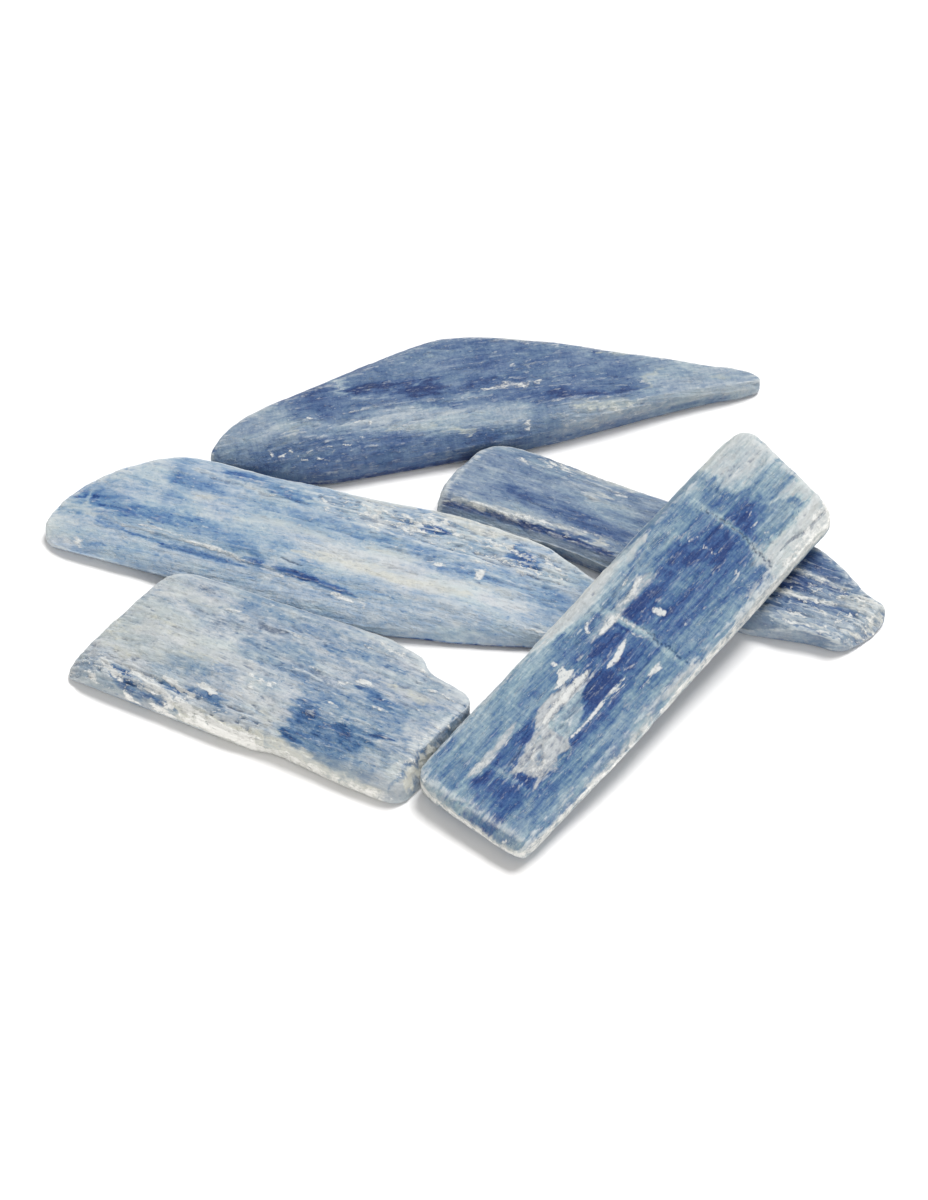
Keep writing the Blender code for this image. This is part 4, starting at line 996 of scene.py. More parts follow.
# --- right blade: slate blue, with wavy white ridges at its outer end -----------------------------------
def right_marks(s):
    s.tone[:] = 0.47 + 0.07 * fractal(s.x * 0.05, s.y * 0.45, s.seed + 60, 3)
    s.wash(0.84, 0.85, (-22.6, -0.6), (-21.0, 0.6), (-16, 0.7), (-11, 0.2), (-8, -0.8), (-9, -1.6), (-14, -1.2), (-19, -1.9),
           soft=0.9)
    s.tint(0.90, 0.75, 1.5, (-20.4, -0.4), (-18, -0.6), (-15.4, -0.5))
    s.wash(0.80, 0.80, (-15, -1.4), (-8, -1.4), (-3, -1.8), (-3, -3.8), (-9, -3.4), (-14, -2.6), soft=0.9)
    s.tint(0.82, 0.80, 1.2, (-14.2, -4.6), (-11, -4.3), (-7.6, -4.7))
    # painted shade: a navy line along the front side below the rim
    s.tint(1.05, 0.90, 0.8, (-28, -5.1), (-20, -5.0), (-12, -5.1), (-4, -5.6), lens=False, fray=0.4, wander=0.5)
    s.tint(0.60, 0.60, 1.4, (-24.4, 6.8), (-22.4, 7.0), (-20.4, 6.8))
    s.tint(0.34, 0.60, 2.4, (-28, 0.0), (-26, 4.4), (-23, 6.4), lens=False)
    s.tint(0.34, 0.60, 2.0, (-20, 3.4), (-12, 3.0), (-6, 2.2))
    s.tint(0.30, 0.60, 1.2, (-27, -3.6), (-21, -3.4), (-15, -3.0))
    s.tint(0.22, 0.65, 0.9, (-25.4, 2.2), (-24, 1.7), (-22.4, 1.4))
    # splinters along the back edge
    s.lay("chalk", 0.58, 0.6, (-21.6, 5.6), (-20.4, 5.0), (-19.6, 4.6))
    s.lay("chalk", 0.66, 0.5, (-19.2, 6.9), (-18.0, 6.2), (-17.2, 5.4))
    s.lay("chalk", 0.66, 0.5, (-18.0, 7.0), (-16.4, 6.2), (-15.0, 5.6))
    s.lay("chalk", 0.60, 0.5, (-16.4, 6.8), (-14.6, 6.0), (-13.2, 5.6))
    s.lay("cream", 0.56, 1.0, (-14, 6.4), (-9, 6.0), (-5, 5.6))
    s.lay("cream", 0.62, 1.6, (-10.2, 2.8), (-7.8, 3.2))
    s.lay("chalk", 0.50, 0.7, (-6.8, 4.4), (-6.0, 4.2))
    # the cream ridge before the navy seam, which is painted shade on the front side
    s.lay("cream", 0.60, 0.9, (-27, -4.6), (-21, -4.4), (-15, -3.9), (-8, -4.0))
    s.lay("chalk", 0.56, 0.45, (-24.6, -4.5), (-21.5, -4.3))
    s.lay("chalk", 0.62, 0.6, (-18.6, -4.3), (-16, -3.9), (-13, -4.0))
    s.lay("cream", 0.70, 1.2, (-7.0, -4.2), (-5.6, -4.3))
    s.lay("chalk", 0.45, 0.35, (-12, -3.2), (-8, -3.4), (-5, -3.4))
    # hidden ground under the blade that leans here
    s.tint(0.62, 0.60, 3.0, (-3, 1.0), (6, 0.4), (14, 0.0))
    s.lay("cream", 0.55, 1.0, (0, -4.6), (8, -5.0), (15, -5.4))
    # the outer end
    # a navy patch beside the crossing blade, partly its own navy and partly painted shadow of that blade
    s.wash(0.98, 0.90, (15, 0.8), (17.6, 0.4), (20.4, 0.5), (22.4, -0.4), (21.0, -1.8), (18, -2.3), (15, -2.4), soft=0.6)
    s.wash(0.82, 0.85, (16, 2.0), (18.4, 2.2), (21, 1.9), (24.6, 1.6), (24.0, 3.8), (20.6, 4.9), (17, 5.0), soft=0.6)
    s.tint(0.92, 0.80, 0.9, (17, 3.8), (20, 3.5), (23, 3.0))
    s.tint(0.84, 0.85, 1.3, (16.6, -3.9), (19.4, -3.8), (22.2, -3.5))
    s.tint(0.72, 0.80, 1.2, (22.4, -2.8), (25, -2.6), (28, -2.4))
    s.tint(0.72, 0.75, 1.2, (17, -5.2), (19, -5.0), (20.6, -5.0))
    s.tint(0.78, 0.75, 0.9, (22, 0.6), (24, 0.5), (26, 0.0))
    s.wash(0.36, 0.80, (22.4, -5.6), (23.4, -3.9), (27, -3.6), (28.4, -4.4), (27.6, -6.6), (24.4, -6.6), soft=0.7)
    s.tint(0.44, 0.60, 1.4, (20, 5.2), (24, 3.9), (27, 2.4))
    s.lay("cream", 0.62, 0.8, (17.8, 1.3), (20, 1.0), (23, 1.3), (26, 0.9), fray=0.5)
    s.lay("cream", 0.72, 0.9, (16.6, -3.0), (20, -2.8), (23.5, -2.2), (26, -1.7), fray=0.5)
    s.blot("cream", 0.62, (25.0, -1.4), (26.2, 0.4), (28.4, 1.2), (31, 0.6), (31.6, -0.6), (30.0, -1.9), (27.4, -2.0), fray=0.8)
    s.lay("cream", 0.56, 1.2, (18, -6.6), (22, -6.4), (26, -7.0))
    s.lay("cream", 0.70, 0.8, (30.8, -1.0), (29.8, -3.4), (28.4, -5.6), lens=False)
    s.lay("chalk", 0.62, 0.45, (18.4, 1.4), (20.4, 1.0), (23.4, 1.4))
    s.lay("chalk", 0.80, 0.5, (18, -2.9), (21.6, -2.7), (25.6, -1.8))
    s.lay("chalk", 0.66, 0.5, (20, -5.9), (21.8, -5.6), (22.4, -6.2))
    s.lay("chalk", 0.56, 0.4, (22.4, -4.4), (24.4, -4.0), (26.4, -4.0))
    s.lay("chalk", 0.56, 0.4, (18.6, -7.8), (21.4, -7.2), (24, -6.9))
    s.lay("chalk", 0.70, 0.5, (25.2, -7.3), (27.4, -6.9))
    s.lay("chalk", 0.66, 0.5, (26.4, -0.4), (28.6, 0.4), (30.6, 0.2))
    for k in range(4):
        s.lay("chalk", 0.52, 0.3, (30.0 - 0.8 * k, -1.8 - 0.2 * k), (29.0 - 0.8 * k, -3.8 - 0.2 * k), (27.6 - 0.8 * k, -5.8 - 0.1 * k),
              lens=False)
    s.lay("dark", 0.60, 0.7, (17.4, -0.9), (20.6, -1.4))
    s.lay("dark", 0.50, 0.4, (18.6, -3.4), (22, -3.2))
    s.lay("dark", 0.50, 0.4, (19.0, 0.6), (22.6, 0.7))
    s.lay("rough", 1.00, 9.0, (17, -1.5), (24, -2.0), (30, -2.0), lens=False)
    s.lay("rough", 0.50, 2.4, (-22, 5.8), (-10, 5.2))
    s.lay("rough", 0.50, 2.0, (-24, -4.4), (-8, -4.6))
    s.lay("rough", 0.30, 3.0, (-12, 3.0), (-4, 3.0))
    s.ledge(0.20, 1.2, (-27, -4.5), (-18, -4.5), (-8, -4.9), (-2, -5.4), left=False)
    s.ledge(0.18, 1.2, (16, 1.3), (20, 0.9), (25, 0.6), (30, 0.4), left=False)
    s.ledge(0.18, 1.2, (16, -3.1), (21, -2.9), (27, -1.6), left=False)
    s.ledge(0.12, 1.2, (-22, 5.0), (-14, 4.8), (-4, 4.4), left=False)
    # painted shade: the front side darkened towards navy near the table
    s.foot(0.95, 0.85, 0.5, 2.2, -28, -2)
    s.foot(0.34, 0.60, -0.5, 0.9, -28, 16)


# --- crossing blade: deep blue, with a cream inclusion, cross fractures and a pale far end ------------
def cross_marks(s):
    s.tone[:] = 0.52 + 0.07 * fractal(s.x * 0.05, s.y * 0.5, s.seed + 60, 3)
    # grey-blue flanks
    s.wash(0.38, 0.75, (-34, 10), (-34, 5.2), (-20, 5.6), (-8, 5.6), (-8, 10), soft=0.8)
    s.wash(0.60, 0.60, (-30.4, 6.8), (-30.2, 3.8), (-24.6, 3.9), (-18.6, 3.9), (-18.6, 5.4), (-24, 5.6), (-25.6, 6.8), soft=0.6)
    s.wash(0.54, 0.70, (-31, -5.2), (-10, -5.0), (4, -5.6), (4, -10), (-31, -10), soft=0.7)
    s.wash(0.60, 0.60, (3, -4.6), (20, -4.4), (20, -8.6), (3, -8.8), soft=0.8)
    s.wash(0.40, 0.60, (15, 9.6), (15, 6.2), (20, 5.4), (26.6, 3.4), (27, 9.8), soft=0.9)
    # the deep core along the middle
    s.wash(0.74, 0.85, (-33.4, 0.8), (-33, -4.2), (-24, -4.8), (-14, -4.8), (-4, -4.4), (1, -4.6), (1, 3.0), (-6, 4.4), (-8, 2.6),
           (-18, 2.6), (-25, 2.4), (-29.4, 2.6), (-30, 0.8), soft=0.5)
    s.wash(0.76, 0.85, (1, 3.2), (9.6, 3.4), (15.4, 4.4), (17.4, 2.8), (22, 2.6), (26.6, 1.6), (27.0, -1.0), (24, -3.4), (20, -4.6),
           (10, -4.9), (1, -4.7), soft=0.6)
    s.wash(0.84, 0.70, (-33.2, 0.4), (-33.2, -3.8), (-30.0, -3.8), (-30.0, 0.4), soft=0.3)
    s.wash(0.96, 0.88, (-28.9, 0.0), (-26.0, 0.3), (-25.6, -2.2), (-28.6, -2.4), soft=0.4)
    s.wash(0.94, 0.85, (-28.8, 2.4), (-26.1, 2.2), (-26, 1.1), (-28, 0.9), soft=0.3)
    s.wash(0.98, 0.80, (-25.2, -0.8), (-23.6, -1.0), (-23.4, -3.8), (-25.2, -3.8), soft=0.3)
    s.wash(0.84, 0.80, (-23.4, 2.5), (-17.4, 2.5), (-17.4, 1.0), (-20.4, 0.5), (-23.2, 1.0), soft=0.35)
    s.tint(1.02, 0.80, 0.7, (-20.8, 0.8), (-17.8, 1.3), wander=1.0)
    s.wash(0.96, 0.92, (-13.6, -2.7), (-11.5, -1.8), (-9.4, -0.8), (-8.8, 0.4), (-6.2, 0.5), (-5.0, 0.0), (-5.2, -1.6), (-4.8, -2.8),
           (-9, -2.9), soft=0.3)
    s.wash(0.94, 0.88, (-17.4, -4.3), (-16, -3.6), (-6.4, -3.5), (-4.6, -4.2), (-8, -4.8), (-14, -4.8), soft=0.3)
    s.wash(0.95, 0.88, (-5.0, 0.5), (-3.0, 0.4), (0.2, 0.9), (0.4, 2.8), (-2, 3.0), (-4.8, 2.2), soft=0.4)
    s.wash(0.93, 0.88, (-5.0, -0.7), (-1.2, -0.4), (0.8, -0.5), (0.6, -2.9), (-2, -3.1), (-4.2, -2.0), soft=0.4)
    s.wash(0.94, 0.90, (2.8, 3.0), (6, 3.0), (8, 2.6), (10.6, 1.9), (9.6, 0.5), (7, -0.1), (2.8, -0.4), soft=0.35)
    s.wash(0.86, 0.75, (9.6, 4.2), (15.8, 4.6), (16.0, 2.6), (12, 1.2), (9.8, 1.4), soft=0.5)
    s.wash(0.94, 0.88, (13.4, 0.8), (15.6, -0.5), (15.4, -2.2), (17, -2.6), (20.8, -1.4), (21.4, 0.4), (21.0, 1.9), (18.4, 1.8),
           (16.4, 1.2), (15.8, 2.4), (13.2, 1.9), soft=0.4)
    s.wash(0.94, 0.88, (22.8, 1.5), (26.3, 1.2), (26.4, 0.0), (24.6, -0.5), (22.8, -0.5), soft=0.25)
    s.tint(0.66, 0.70, 2.2, (22.4, -1.8), (25.4, -2.0), (27.6, -1.6))
    s.tint(0.92, 0.60, 1.2, (3.4, -1.4), (7, -1.8), (12, -1.9))
    s.tint(0.90, 0.55, 1.0, (4.6, -3.6), (9, -3.9), (14, -3.6))
    # the pale left rim and the pale far end
    s.wash(0.06, 0.88, (-9.8, 10), (-9.0, 7.8), (-5, 7.4), (-3.5, 6.5), (-0.5, 6.2), (4.6, 6.6), (8, 7.0), (14.6, 7.6), (14.4, 8.3),
           (10.6, 8.6), (9.4, 10), soft=0.5)
    s.wash(0.24, 0.60, (-16, 10), (-15, 7.8), (-9, 7.0), (-9, 10), soft=0.6)
    s.wash(0.08, 0.90, (27.0, 11), (26.6, 6.0), (26.2, 3.4), (28.2, 2.2), (30.4, 2.4), (36, 2.0), (38, 7), (34, 11), soft=0.5)
    s.wash(0.36, 0.85, (28.4, 2.0), (36, 2.0), (35, -1.5), (31, -1.5), (28.8, -0.8), soft=0.4)
    s.wash(0.48, 0.88, (22.6, -2.4), (27.2, -1.2), (29.4, -2.0), (30.8, -3.6), (31.0, -5.0), (24, -5.2), soft=0.3, fray=0.2)
    s.wash(0.08, 0.90, (27.2, -1.0), (31, -1.6), (35, -1.6), (34, -5.2), (31.0, -5.2), (30.6, -3.4), (29.0, -2.0), soft=0.25, fray=0.3)
    s.wash(0.08, 0.92, (19.2, -10), (20.0, -6.4), (21.6, -5.4), (31, -5.1), (34, -5.2), (34, -10), soft=0.35)
    s.wash(0.20, 0.60, (21.6, 8.4), (21.8, 6.6), (24.4, 6.4), (24.6, 8.4), soft=0.6)
    s.blot("cream", 0.62, (-8.8, 9.6), (-5, 7.8), (-0.5, 6.8), (8, 7.6), (9.6, 9.8), soft=0.6, fray=0.9)
    s.lay("cream", 0.66, 0.9, (9.8, 7.8), (12.4, 7.9), (14.4, 7.8))
    s.blot("cream", 0.50, (27.6, 10), (27, 4.4), (31, 3.0), (36, 3.4), (36, 9), soft=0.9, fray=1.2)
    s.lay("cream", 0.56, 1.8, (31.4, -2.8), (32.6, -4.6), lens=False)
    s.blot("cream", 0.62, (19.4, -9.8), (20.6, -6.4), (23, -5.7), (32, -5.7), (33, -9.6), soft=0.5, fray=1.0)
    s.lay("cream", 0.56, 0.9, (21.6, -3.6), (20.4, -6.0), lens=False)
    s.lay("cream", 0.60, 1.2, (14.6, -8.2), (16.4, -8.0))
    s.lay("dark", 0.50, 0.4, (10.6, 8.2), (12.2, 8.4))
    # the big inclusion, and the grey wedge that runs on from it
    s.blot("cream", 0.26, (-16.4, 0.5), (-11, 0.5), (-9.0, -0.1), (-10.5, -1.0), (-12, -2.1), (-13.4, -2.9), (-16.4, -3.2))
    s.wash(0.34, 0.92, (-16.4, 0.5), (-11, 0.5), (-9.0, -0.1), (-10.5, -1.0), (-12, -2.1), (-13.4, -2.9), (-16.4, -3.2), soft=0.3,
           fray=0.2)
    s.blot("cream", 0.90, (-25.3, -0.3), (-23.4, -0.5), (-21.5, -0.1), (-20.2, 0.5), (-18.8, 0.6), (-17.2, 0.9), (-15.8, 0.6),
           (-16.6, -1.2), (-16.2, -3.0), (-17.4, -4.3), (-19.0, -3.6), (-19.8, -4.0), (-20.8, -4.9), (-21.3, -4.2), (-23, -4.2),
           (-25.2, -4.5), (-24.4, -4.0), (-23, -3.6), (-23.8, -2.9), (-23.4, -1.6), (-24.2, -1.1), soft=0.25, fray=0.25, warp=0.3)
    s.blot("chalk", 0.26, (-24.6, -0.4), (-22, -0.5), (-20, 0.2), (-19.4, -1.6), (-20.6, -3.4), (-19.4, -4.0), (-20.8, -4.7),
           (-23.0, -3.9), (-23.6, -2.9), (-23.2, -1.4), soft=0.4, fray=0.6, warp=0.3)
    s.tint(0.36, 0.70, 1.5, (-18.6, -0.6), (-17.6, -1.6), (-18.2, -2.6), lens=False, wander=0.5)
    s.tint(0.20, 0.60, 0.35, (-16.2, 0.2), (-16.2, -2.8), lens=False, wander=0.3)
    s.blot("cream", 0.95, (-17.6, 1.0), (-16.3, 2.2), (-14.5, 2.7), (-12, 2.6), (-10.5, 2.0), (-8.2, 1.7), (-6.0, 1.1), (-7, 0.7),
           (-9.5, 0.5), (-12, 0.5), (-15, 0.4), (-16.5, 0.5), soft=0.25, fray=0.3, warp=0.3)
    s.lay("chalk", 0.80, 0.8, (-16.4, 0.9), (-13, 1.1), (-10, 1.1), (-6.6, 1.1), fray=0.4)
    s.lay("dark", 0.55, 0.4, (-15.8, 0.9), (-15.0, 1.1))
    s.blot("chalk", 0.90, (-11.8, 2.9), (-10.2, 3.5), (-9.4, 4.2), (-8.8, 4.5), (-8.0, 4.2), (-8.4, 3.4), (-7.5, 2.8), (-9, 2.4),
           (-10.5, 2.5), soft=0.22, fray=0.25, warp=0.3)
    s.lay("chalk", 0.75, 0.4, (-9.2, 4.4), (-8.6, 5.0), (-8.1, 5.6), fray=0.2)
    s.lay("dark", 0.75, 0.5, (-11.7, 2.4), (-10.8, 2.2), (-9.6, 2.2), fray=0.2)
    s.blot("cream", 0.78, (-28.7, 3.2), (-27.5, 3.7), (-24, 3.4), (-22, 3.6), (-19, 3.9), (-18.2, 3.5), (-20, 2.9), (-22, 2.6),
           (-25.5, 2.3), (-27.2, 2.7), soft=0.3, fray=0.4, warp=0.4)
    s.lay("chalk", 0.50, 0.7, (-28.2, 3.2), (-26.2, 3.2), (-24.4, 2.9))
    s.lay("chalk", 0.80, 0.42, (-16.2, -3.3), (-12.5, -3.4), (-8, -3.1), (-4.6, -3.0), fray=0.25, wander=0.4)
    s.lay("chalk", 0.62, 0.6, (-6.9, -3.2), (-6.0, -3.6), fray=0.3)
    s.lay("chalk", 1.00, 0.62, (-4.9, -0.4), (-3.4, -0.5), (-1.6, -0.1), (-0.2, 0.3), fray=0.15, wander=0.3)
    s.blot("chalk", 0.80, (5.3, 0.3), (5.8, 0.6), (6.4, 0.4), (6.6, -0.3), (6.4, -1.2), (5.9, -1.4), (5.4, -1.0), (5.4, -0.3),
           soft=0.2, fray=0.12, warp=0.2)
    s.blot("chalk", 0.72, (-3.0, -5.2), (-1.6, -4.9), (-0.3, -5.0), (-0.1, -5.6), (-0.8, -6.0), (-2.2, -5.7), soft=0.25, fray=0.3,
           warp=0.3)
    s.lay("chalk", 0.50, 0.4, (-4.2, -6.0), (-3.2, -5.8))
    s.lay("cream", 0.55, 0.8, (-8, -5.9), (-6.4, -5.8))
    s.lay("chalk", 0.42, 0.35, (-4.2, -1.6), (-3.2, -2.4), (-1.6, -3.2), fray=0.6)
    s.lay("dark", 0.70, 0.5, (-24.8, 0.3), (-22.4, 0.3), (-21.4, 0.7), (-20.4, 0.7), fray=0.6)
    s.lay("dark", 0.72, 0.4, (-22.2, -0.1), (-21.4, -0.2), fray=0.2)
    s.lay("dark", 0.60, 0.4, (-15.6, -2.6), (-14.8, -2.5))
    # streaks beside the left rim
    s.blot("cream", 0.72, (-2.8, 3.5), (-1.2, 4.2), (1.5, 4.4), (4, 4.3), (8, 4.9), (9.8, 4.5), (9.8, 3.4), (8, 3.0), (4, 3.3), (2, 2.9),
           (0, 2.8), (-1.5, 3.2), soft=0.4, fray=0.7, warp=0.5)
    s.lay("chalk", 0.80, 0.8, (-0.8, 3.5), (0.8, 3.6), (2.2, 3.7), fray=0.4)
    s.lay("chalk", 0.72, 0.5, (4.4, 3.9), (6.4, 4.1), (8.6, 4.4), fray=0.4)
    s.lay("chalk", 0.55, 0.35, (-1.9, 3.9), (-1.4, 4.8), (-1.0, 5.7), fray=0.4)
    s.lay("cream", 0.55, 0.8, (-6.0, 3.2), (-4.6, 3.0))
    s.lay("chalk", 0.40, 0.35, (5.2, 5.6), (8, 5.9), (10.4, 6.4))
    s.lay("cream", 0.60, 1.0, (15.4, 5.2), (15.9, 4.4))
    s.lay("chalk", 0.45, 0.4, (17.6, 4.8), (17.8, 3.4), (17.6, 2.4), fray=0.6)
    s.lay("chalk", 0.60, 0.5, (17.7, 1.4), (17.9, 0.0), (17.8, -0.8), lens=False, fray=0.6)
    s.lay("chalk", 0.80, 0.6, (17.7, -0.1), (17.8, -0.6), fray=0.3)
    s.lay("chalk", 0.45, 0.5, (18.4, 6.8), (19.4, 6.4))
    s.lay("cream", 0.50, 1.0, (22.4, 7.6), (24.0, 7.2))
    s.lay("chalk", 0.50, 0.4, (15.8, -5.0), (17.4, -4.2))
    s.lay("chalk", 0.50, 0.4, (23.0, -4.6), (23.8, -3.6))
    s.lay("chalk", 0.45, 0.3, (23.6, -2.0), (25.4, -1.9))
    s.lay("chalk", 0.50, 0.4, (24.4, -0.4), (25.2, -0.5))
    s.lay("chalk", 0.45, 0.4, (12.0, -3.2), (12.4, -3.1))
    s.lay("chalk", 0.45, 0.4, (6.5, -4.4), (6.8, -4.3))
    s.lay("cream", 0.42, 0.7, (-8.4, -7.4), (-6, -8.4), (-1, -8.4))
    # cross fractures
    s.tint(0.20, 0.80, 1.0, (1.4, 6.6), (1.9, 3.2), (2.1, 0.0), (2.2, -1.6), lens=False, fray=0.5, wander=0.3)
    s.tint(0.32, 0.70, 0.7, (2.2, -1.6), (1.7, -4.0), (1.2, -8.6), lens=False, fray=0.5, wander=0.3)
    s.lay("chalk", 0.52, 0.5, (2.0, 3.2), (2.2, 1.0), (2.4, -1.2), wander=0.3)
    s.lay("chalk", 0.50, 0.5, (1.1, 0.4), (1.5, -1.2), (2.0, -1.7), wander=0.3)
    s.tint(1.05, 0.75, 0.4, (1.0, 2.9), (1.1, 0.6), lens=False, fray=0.3, wander=0.3)
    s.tint(1.05, 0.70, 0.35, (2.8, 2.9), (2.7, 0.6), lens=False, fray=0.3, wander=0.3)
    s.tint(0.22, 0.75, 0.9, (22.5, 6.4), (22.3, 3.0), (21.9, -0.6), (21.3, -3.6), (20.0, -6.0), lens=False, fray=0.5, wander=0.3)
    s.lay("chalk", 0.36, 0.4, (22.4, 5.0), (22.0, 0.4), (21.5, -2.6), wander=0.3)
    s.lay("cream", 0.56, 0.8, (21.2, -3.8), (19.6, -8.4), lens=False, wander=0.3)
    s.tint(0.34, 0.60, 0.7, (-16.9, 6.4), (-16.6, 3.4), lens=False, fray=0.5, wander=0.3)
    s.tint(0.38, 0.45, 0.5, (-18.4, 6.4), (-18.2, 3.8), lens=False, fray=0.5, wander=0.3)
    s.tint(0.38, 0.45, 0.6, (-25.2, 8.0), (-25.4, -4.0), lens=False, fray=0.6, wander=0.3)
    s.tint(0.40, 0.40, 0.6, (-29.4, 7.6), (-29.2, 3.0), lens=False, fray=0.5, wander=0.3)
    s.tint(0.40, 0.40, 0.5, (12.0, 4.4), (12.3, -1.0), lens=False, fray=0.6, wander=0.3)
    for k in range(9):
        s.tint(0.62, 0.45, 0.25, (-32.8 + 0.4 * k, 0.2), (-32.7 + 0.4 * k, -3.9), lens=False, fray=0.4, wander=0.2)
    # the crack in the pale flank
    s.groove(0.12, 0.42, (22.3, -7.0), (25.0, -7.1), (28.0, -7.6), (31.2, -7.4), (33.0, -7.2))
    s.lay("dark", 0.50, 0.4, (25.2, -6.8), (27.4, -7.4))
    # the pale near end, and the pale line along the right edge, partly its own colour and partly painted light on the
    # rim
    s.tint(0.22, 0.75, 2.0, (-33.2, 8.4), (-32.6, 4.0), (-33.0, 1.0), lens=False)
    s.tint(0.26, 0.65, 1.4, (-33.4, -4.6), (-33.2, -8.4), lens=False)
    # painted glints: the next two white dabs on the near end
    s.lay("chalk", 0.55, 0.6, (-32.2, 8.0), (-31.8, 7.0))
    s.lay("chalk", 0.60, 0.6, (-32.0, 6.6), (-31.6, 6.2))
    s.lay("chalk", 0.50, 0.5, (-32.8, -5.6), (-32.4, -6.2))
    s.lay("cream", 0.70, 0.8, (-20, -9.2), (-14, -9.4), (-7, -9.2), lens=False)
    s.lay("cream", 0.56, 0.8, (-4, -8.9), (2, -8.8), lens=False)
    s.lay("cream", 0.56, 0.7, (10, -8.9), (20, -8.7), lens=False)
    # the sides painted cream and white, partly their own colour and partly painted light on the sides
    s.flank("cream", 0.72, 0.9, 3.4, -34, 34)
    s.flank("chalk", 0.45, 1.2, 3.6, -34, 34)
    s.flank("cream", 0.80, 0.8, 3.2, -36, -28, heading=181.0)
    s.flank("chalk", 0.60, 1.6, 2.8, -36, -28, heading=181.0)
    s.lay("rough", 0.55, 4.4, (-24.5, -2.2), (-18, -2.0), (-13, 1.0), (-8, 1.6), lens=False)
    s.lay("rough", 0.45, 4.0, (-6, 4.6), (8, 5.2))
    s.lay("rough", 0.55, 4.0, (20, -6.4), (32, -6.4), lens=False)
    s.lay("rough", 0.40, 5.0, (24, 6.0), (34, 4.0))
    s.heap(-0.14, 3.8, (-24.4, -2.2), (-20.0, -2.2), (-15.6, -1.8), fray=0.5)
    s.heap(-0.10, 1.8, (-17.0, 1.2), (-12, 1.4), (-6.6, 1.0), fray=0.4)
    s.heap(-0.10, 1.6, (-14.8, -0.8), (-10.2, 0.0))
    s.heap(-0.12, 1.8, (5.9, 0.2), (6.0, -0.9), lens=False, fray=0.1, wander=0.3)
    s.groove(0.07, 0.35, (1.9, 3.2), (2.4, -0.6), (1.9, -8.4))
    s.groove(0.08, 0.35, (22.4, 5.4), (22.0, 0.4), (21.2, -3.6), (20.0, -8.0))
    s.ledge(0.16, 1.6, (-29, 2.6), (-22, 2.5), (-17, 2.7), left=False)
    s.ledge(0.16, 1.8, (-7, 5.3), (0, 5.6), (9, 6.4), (17, 7.0), left=False)
    s.ledge(0.14, 1.6, (-14, -3.8), (-8, -3.7), (0, -4.2), left=True)
    s.ledge(0.12, 1.6, (6, -5.4), (14, -5.2), (20, -4.8), left=False)


BLUES = [(210, 216, 220), (182, 196, 209), (147, 171, 197), (104, 140, 182), (62, 102, 160), (32, 64, 124)]
GREYS = [(212, 216, 218), (187, 196, 205), (152, 169, 188), (111, 141, 175), (64, 104, 153), (34, 66, 118)]
ROYAL = [(214, 219, 219), (173, 192, 201), (134, 160, 180), (90, 125, 162), (50, 89, 147), (27, 60, 121)]
SLATE = [(207, 212, 214), (177, 189, 199), (139, 158, 180), (102, 126, 160), (65, 94, 141), (37, 61, 112)]

# name, place, seed, marks, cream colour, then how the blade is carved and how its stone looks
BLADES = (
    ("back_blade", lying((3.3, 28.7), 11.5), 11, back_marks, "back_kyanite", SLATE, (200, 207, 200),
     {"voxel": 0.140, "rim": 0.4, "melt": 1.0}, {"hatch": 0.10, "crumbs": 0.78, "streaks": 0.56, "rubbed_and_lit": 0.15,
      "painted_side_light": 1.08}),
    ("left_blade", lying((-17.0, 5.0), -16.0), 23, left_marks, "left_kyanite", BLUES, (220, 221, 213),
     {"voxel": 0.148, "melt": 0.9}, {"hatch": 0.05, "crumbs": 1.0, "streaks": 0.78, "long": 1.2, "flecks": 1.2, "rubbed_and_lit": 0.25,
      "painted_side_light": 1.32}),
    ("front_blade", lying((-24.5, -16.5), -25.0), 37, front_marks, "front_kyanite", GREYS, (226, 225, 209),
     {"voxel": 0.132, "melt": 0.7}, {"hatch": 0.06, "crumbs": 1.2, "streaks": 0.85, "flecks": 1.4}),
    ("right_blade", lying((25.0, 8.6), -22.7), 53, right_marks, "right_kyanite", SLATE, (214, 218, 214),
     {"voxel": 0.128, "striae": 1.3}, {"hatch": 0.04, "streaks": 0.74, "crumbs": 0.75, "long": 1.8, "flecks": 0.8}),
    ("crossing_blade", leaning((20.8, -12.0), 2.85, 51.3, 5.1, 68.0), 71, cross_marks, "cross_kyanite", ROYAL,
     (203, 207, 209), {"voxel": 0.142, "striae": 1.3},
     {"hatch": 0.12, "streaks": 1.20, "crumbs": 0.78, "long": 2.2, "flecks": 0.65}),
)

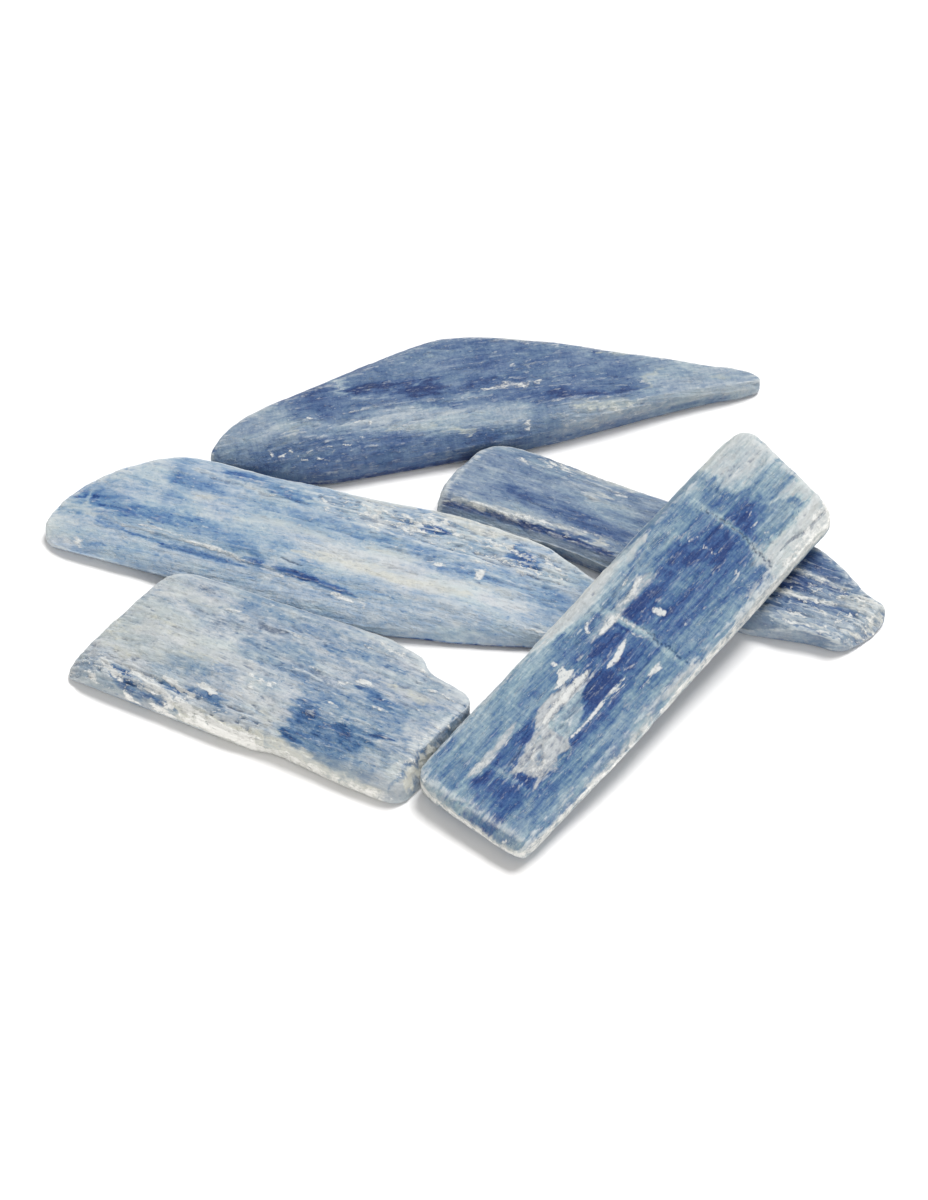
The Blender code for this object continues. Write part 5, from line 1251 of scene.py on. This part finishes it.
for node, place, seed, marks, slot, colours, cream, carving, look in BLADES:
    stone = carve(node, place, seed, marks, **carving)
    stone.data.materials.append(kyanite(slot, colours, seed, cream, **look))
    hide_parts(node)
    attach(stone, "root")
    print(node, len(stone.data.polygons) * 2, "triangles")


# --- floor, lights and world -----------------------------------------------------------------
floor_mesh = bpy.data.meshes.new("floor")
floor_mesh.from_pydata([(-6, -6, 0), (6, -6, 0), (6, 6, 0), (-6, 6, 0)], [], [(0, 1, 2, 3)])
floor = bpy.data.objects.new("floor", floor_mesh)
bpy.context.scene.collection.objects.link(floor)
paper = bpy.data.materials.new("paper")
paper.use_nodes = True
paper_bsdf = paper.node_tree.nodes["Principled BSDF"]
paper_bsdf.inputs["Base Color"].default_value = (0.93, 0.925, 0.92, 1.0)
paper_bsdf.inputs["Roughness"].default_value = 0.9
paper_bsdf.inputs["Specular IOR Level"].default_value = 0.0
floor_mesh.materials.append(paper)


def sun(name, azimuth, elevation, strength, spread, colour):
    """A distant soft light. azimuth is measured from +X towards +Y, to where the light comes from."""
    data = bpy.data.lights.new(name, "SUN")
    data.energy = strength
    data.angle = math.radians(spread)
    data.color = colour
    made = bpy.data.objects.new(name, data)
    a, e = math.radians(azimuth), math.radians(elevation)
    source = Vector((math.cos(a) * math.cos(e), math.sin(a) * math.cos(e), math.sin(e)))
    made.rotation_mode = "QUATERNION"
    made.rotation_quaternion = (-source).to_track_quat("-Z", "Y")
    bpy.context.scene.collection.objects.link(made)
    return made


sun("key", 57.0, 59.0, 3.20, 28.0, (1.0, 0.995, 0.99))
sun("fill", -84.0, 17.0, 1.20, 60.0, (1.0, 0.998, 0.99))

world = bpy.data.worlds.new("studio")
world.use_nodes = True
world.node_tree.nodes["Background"].inputs["Color"].default_value = (1.0, 0.99, 0.98, 1.0)
world.node_tree.nodes["Background"].inputs["Strength"].default_value = 0.42
bpy.context.scene.world = world

view_settings = bpy.context.scene.view_settings
view_settings.view_transform = "Standard"
view_settings.look = "None"
view_settings.exposure = 0.0
view_settings.gamma = 1.0
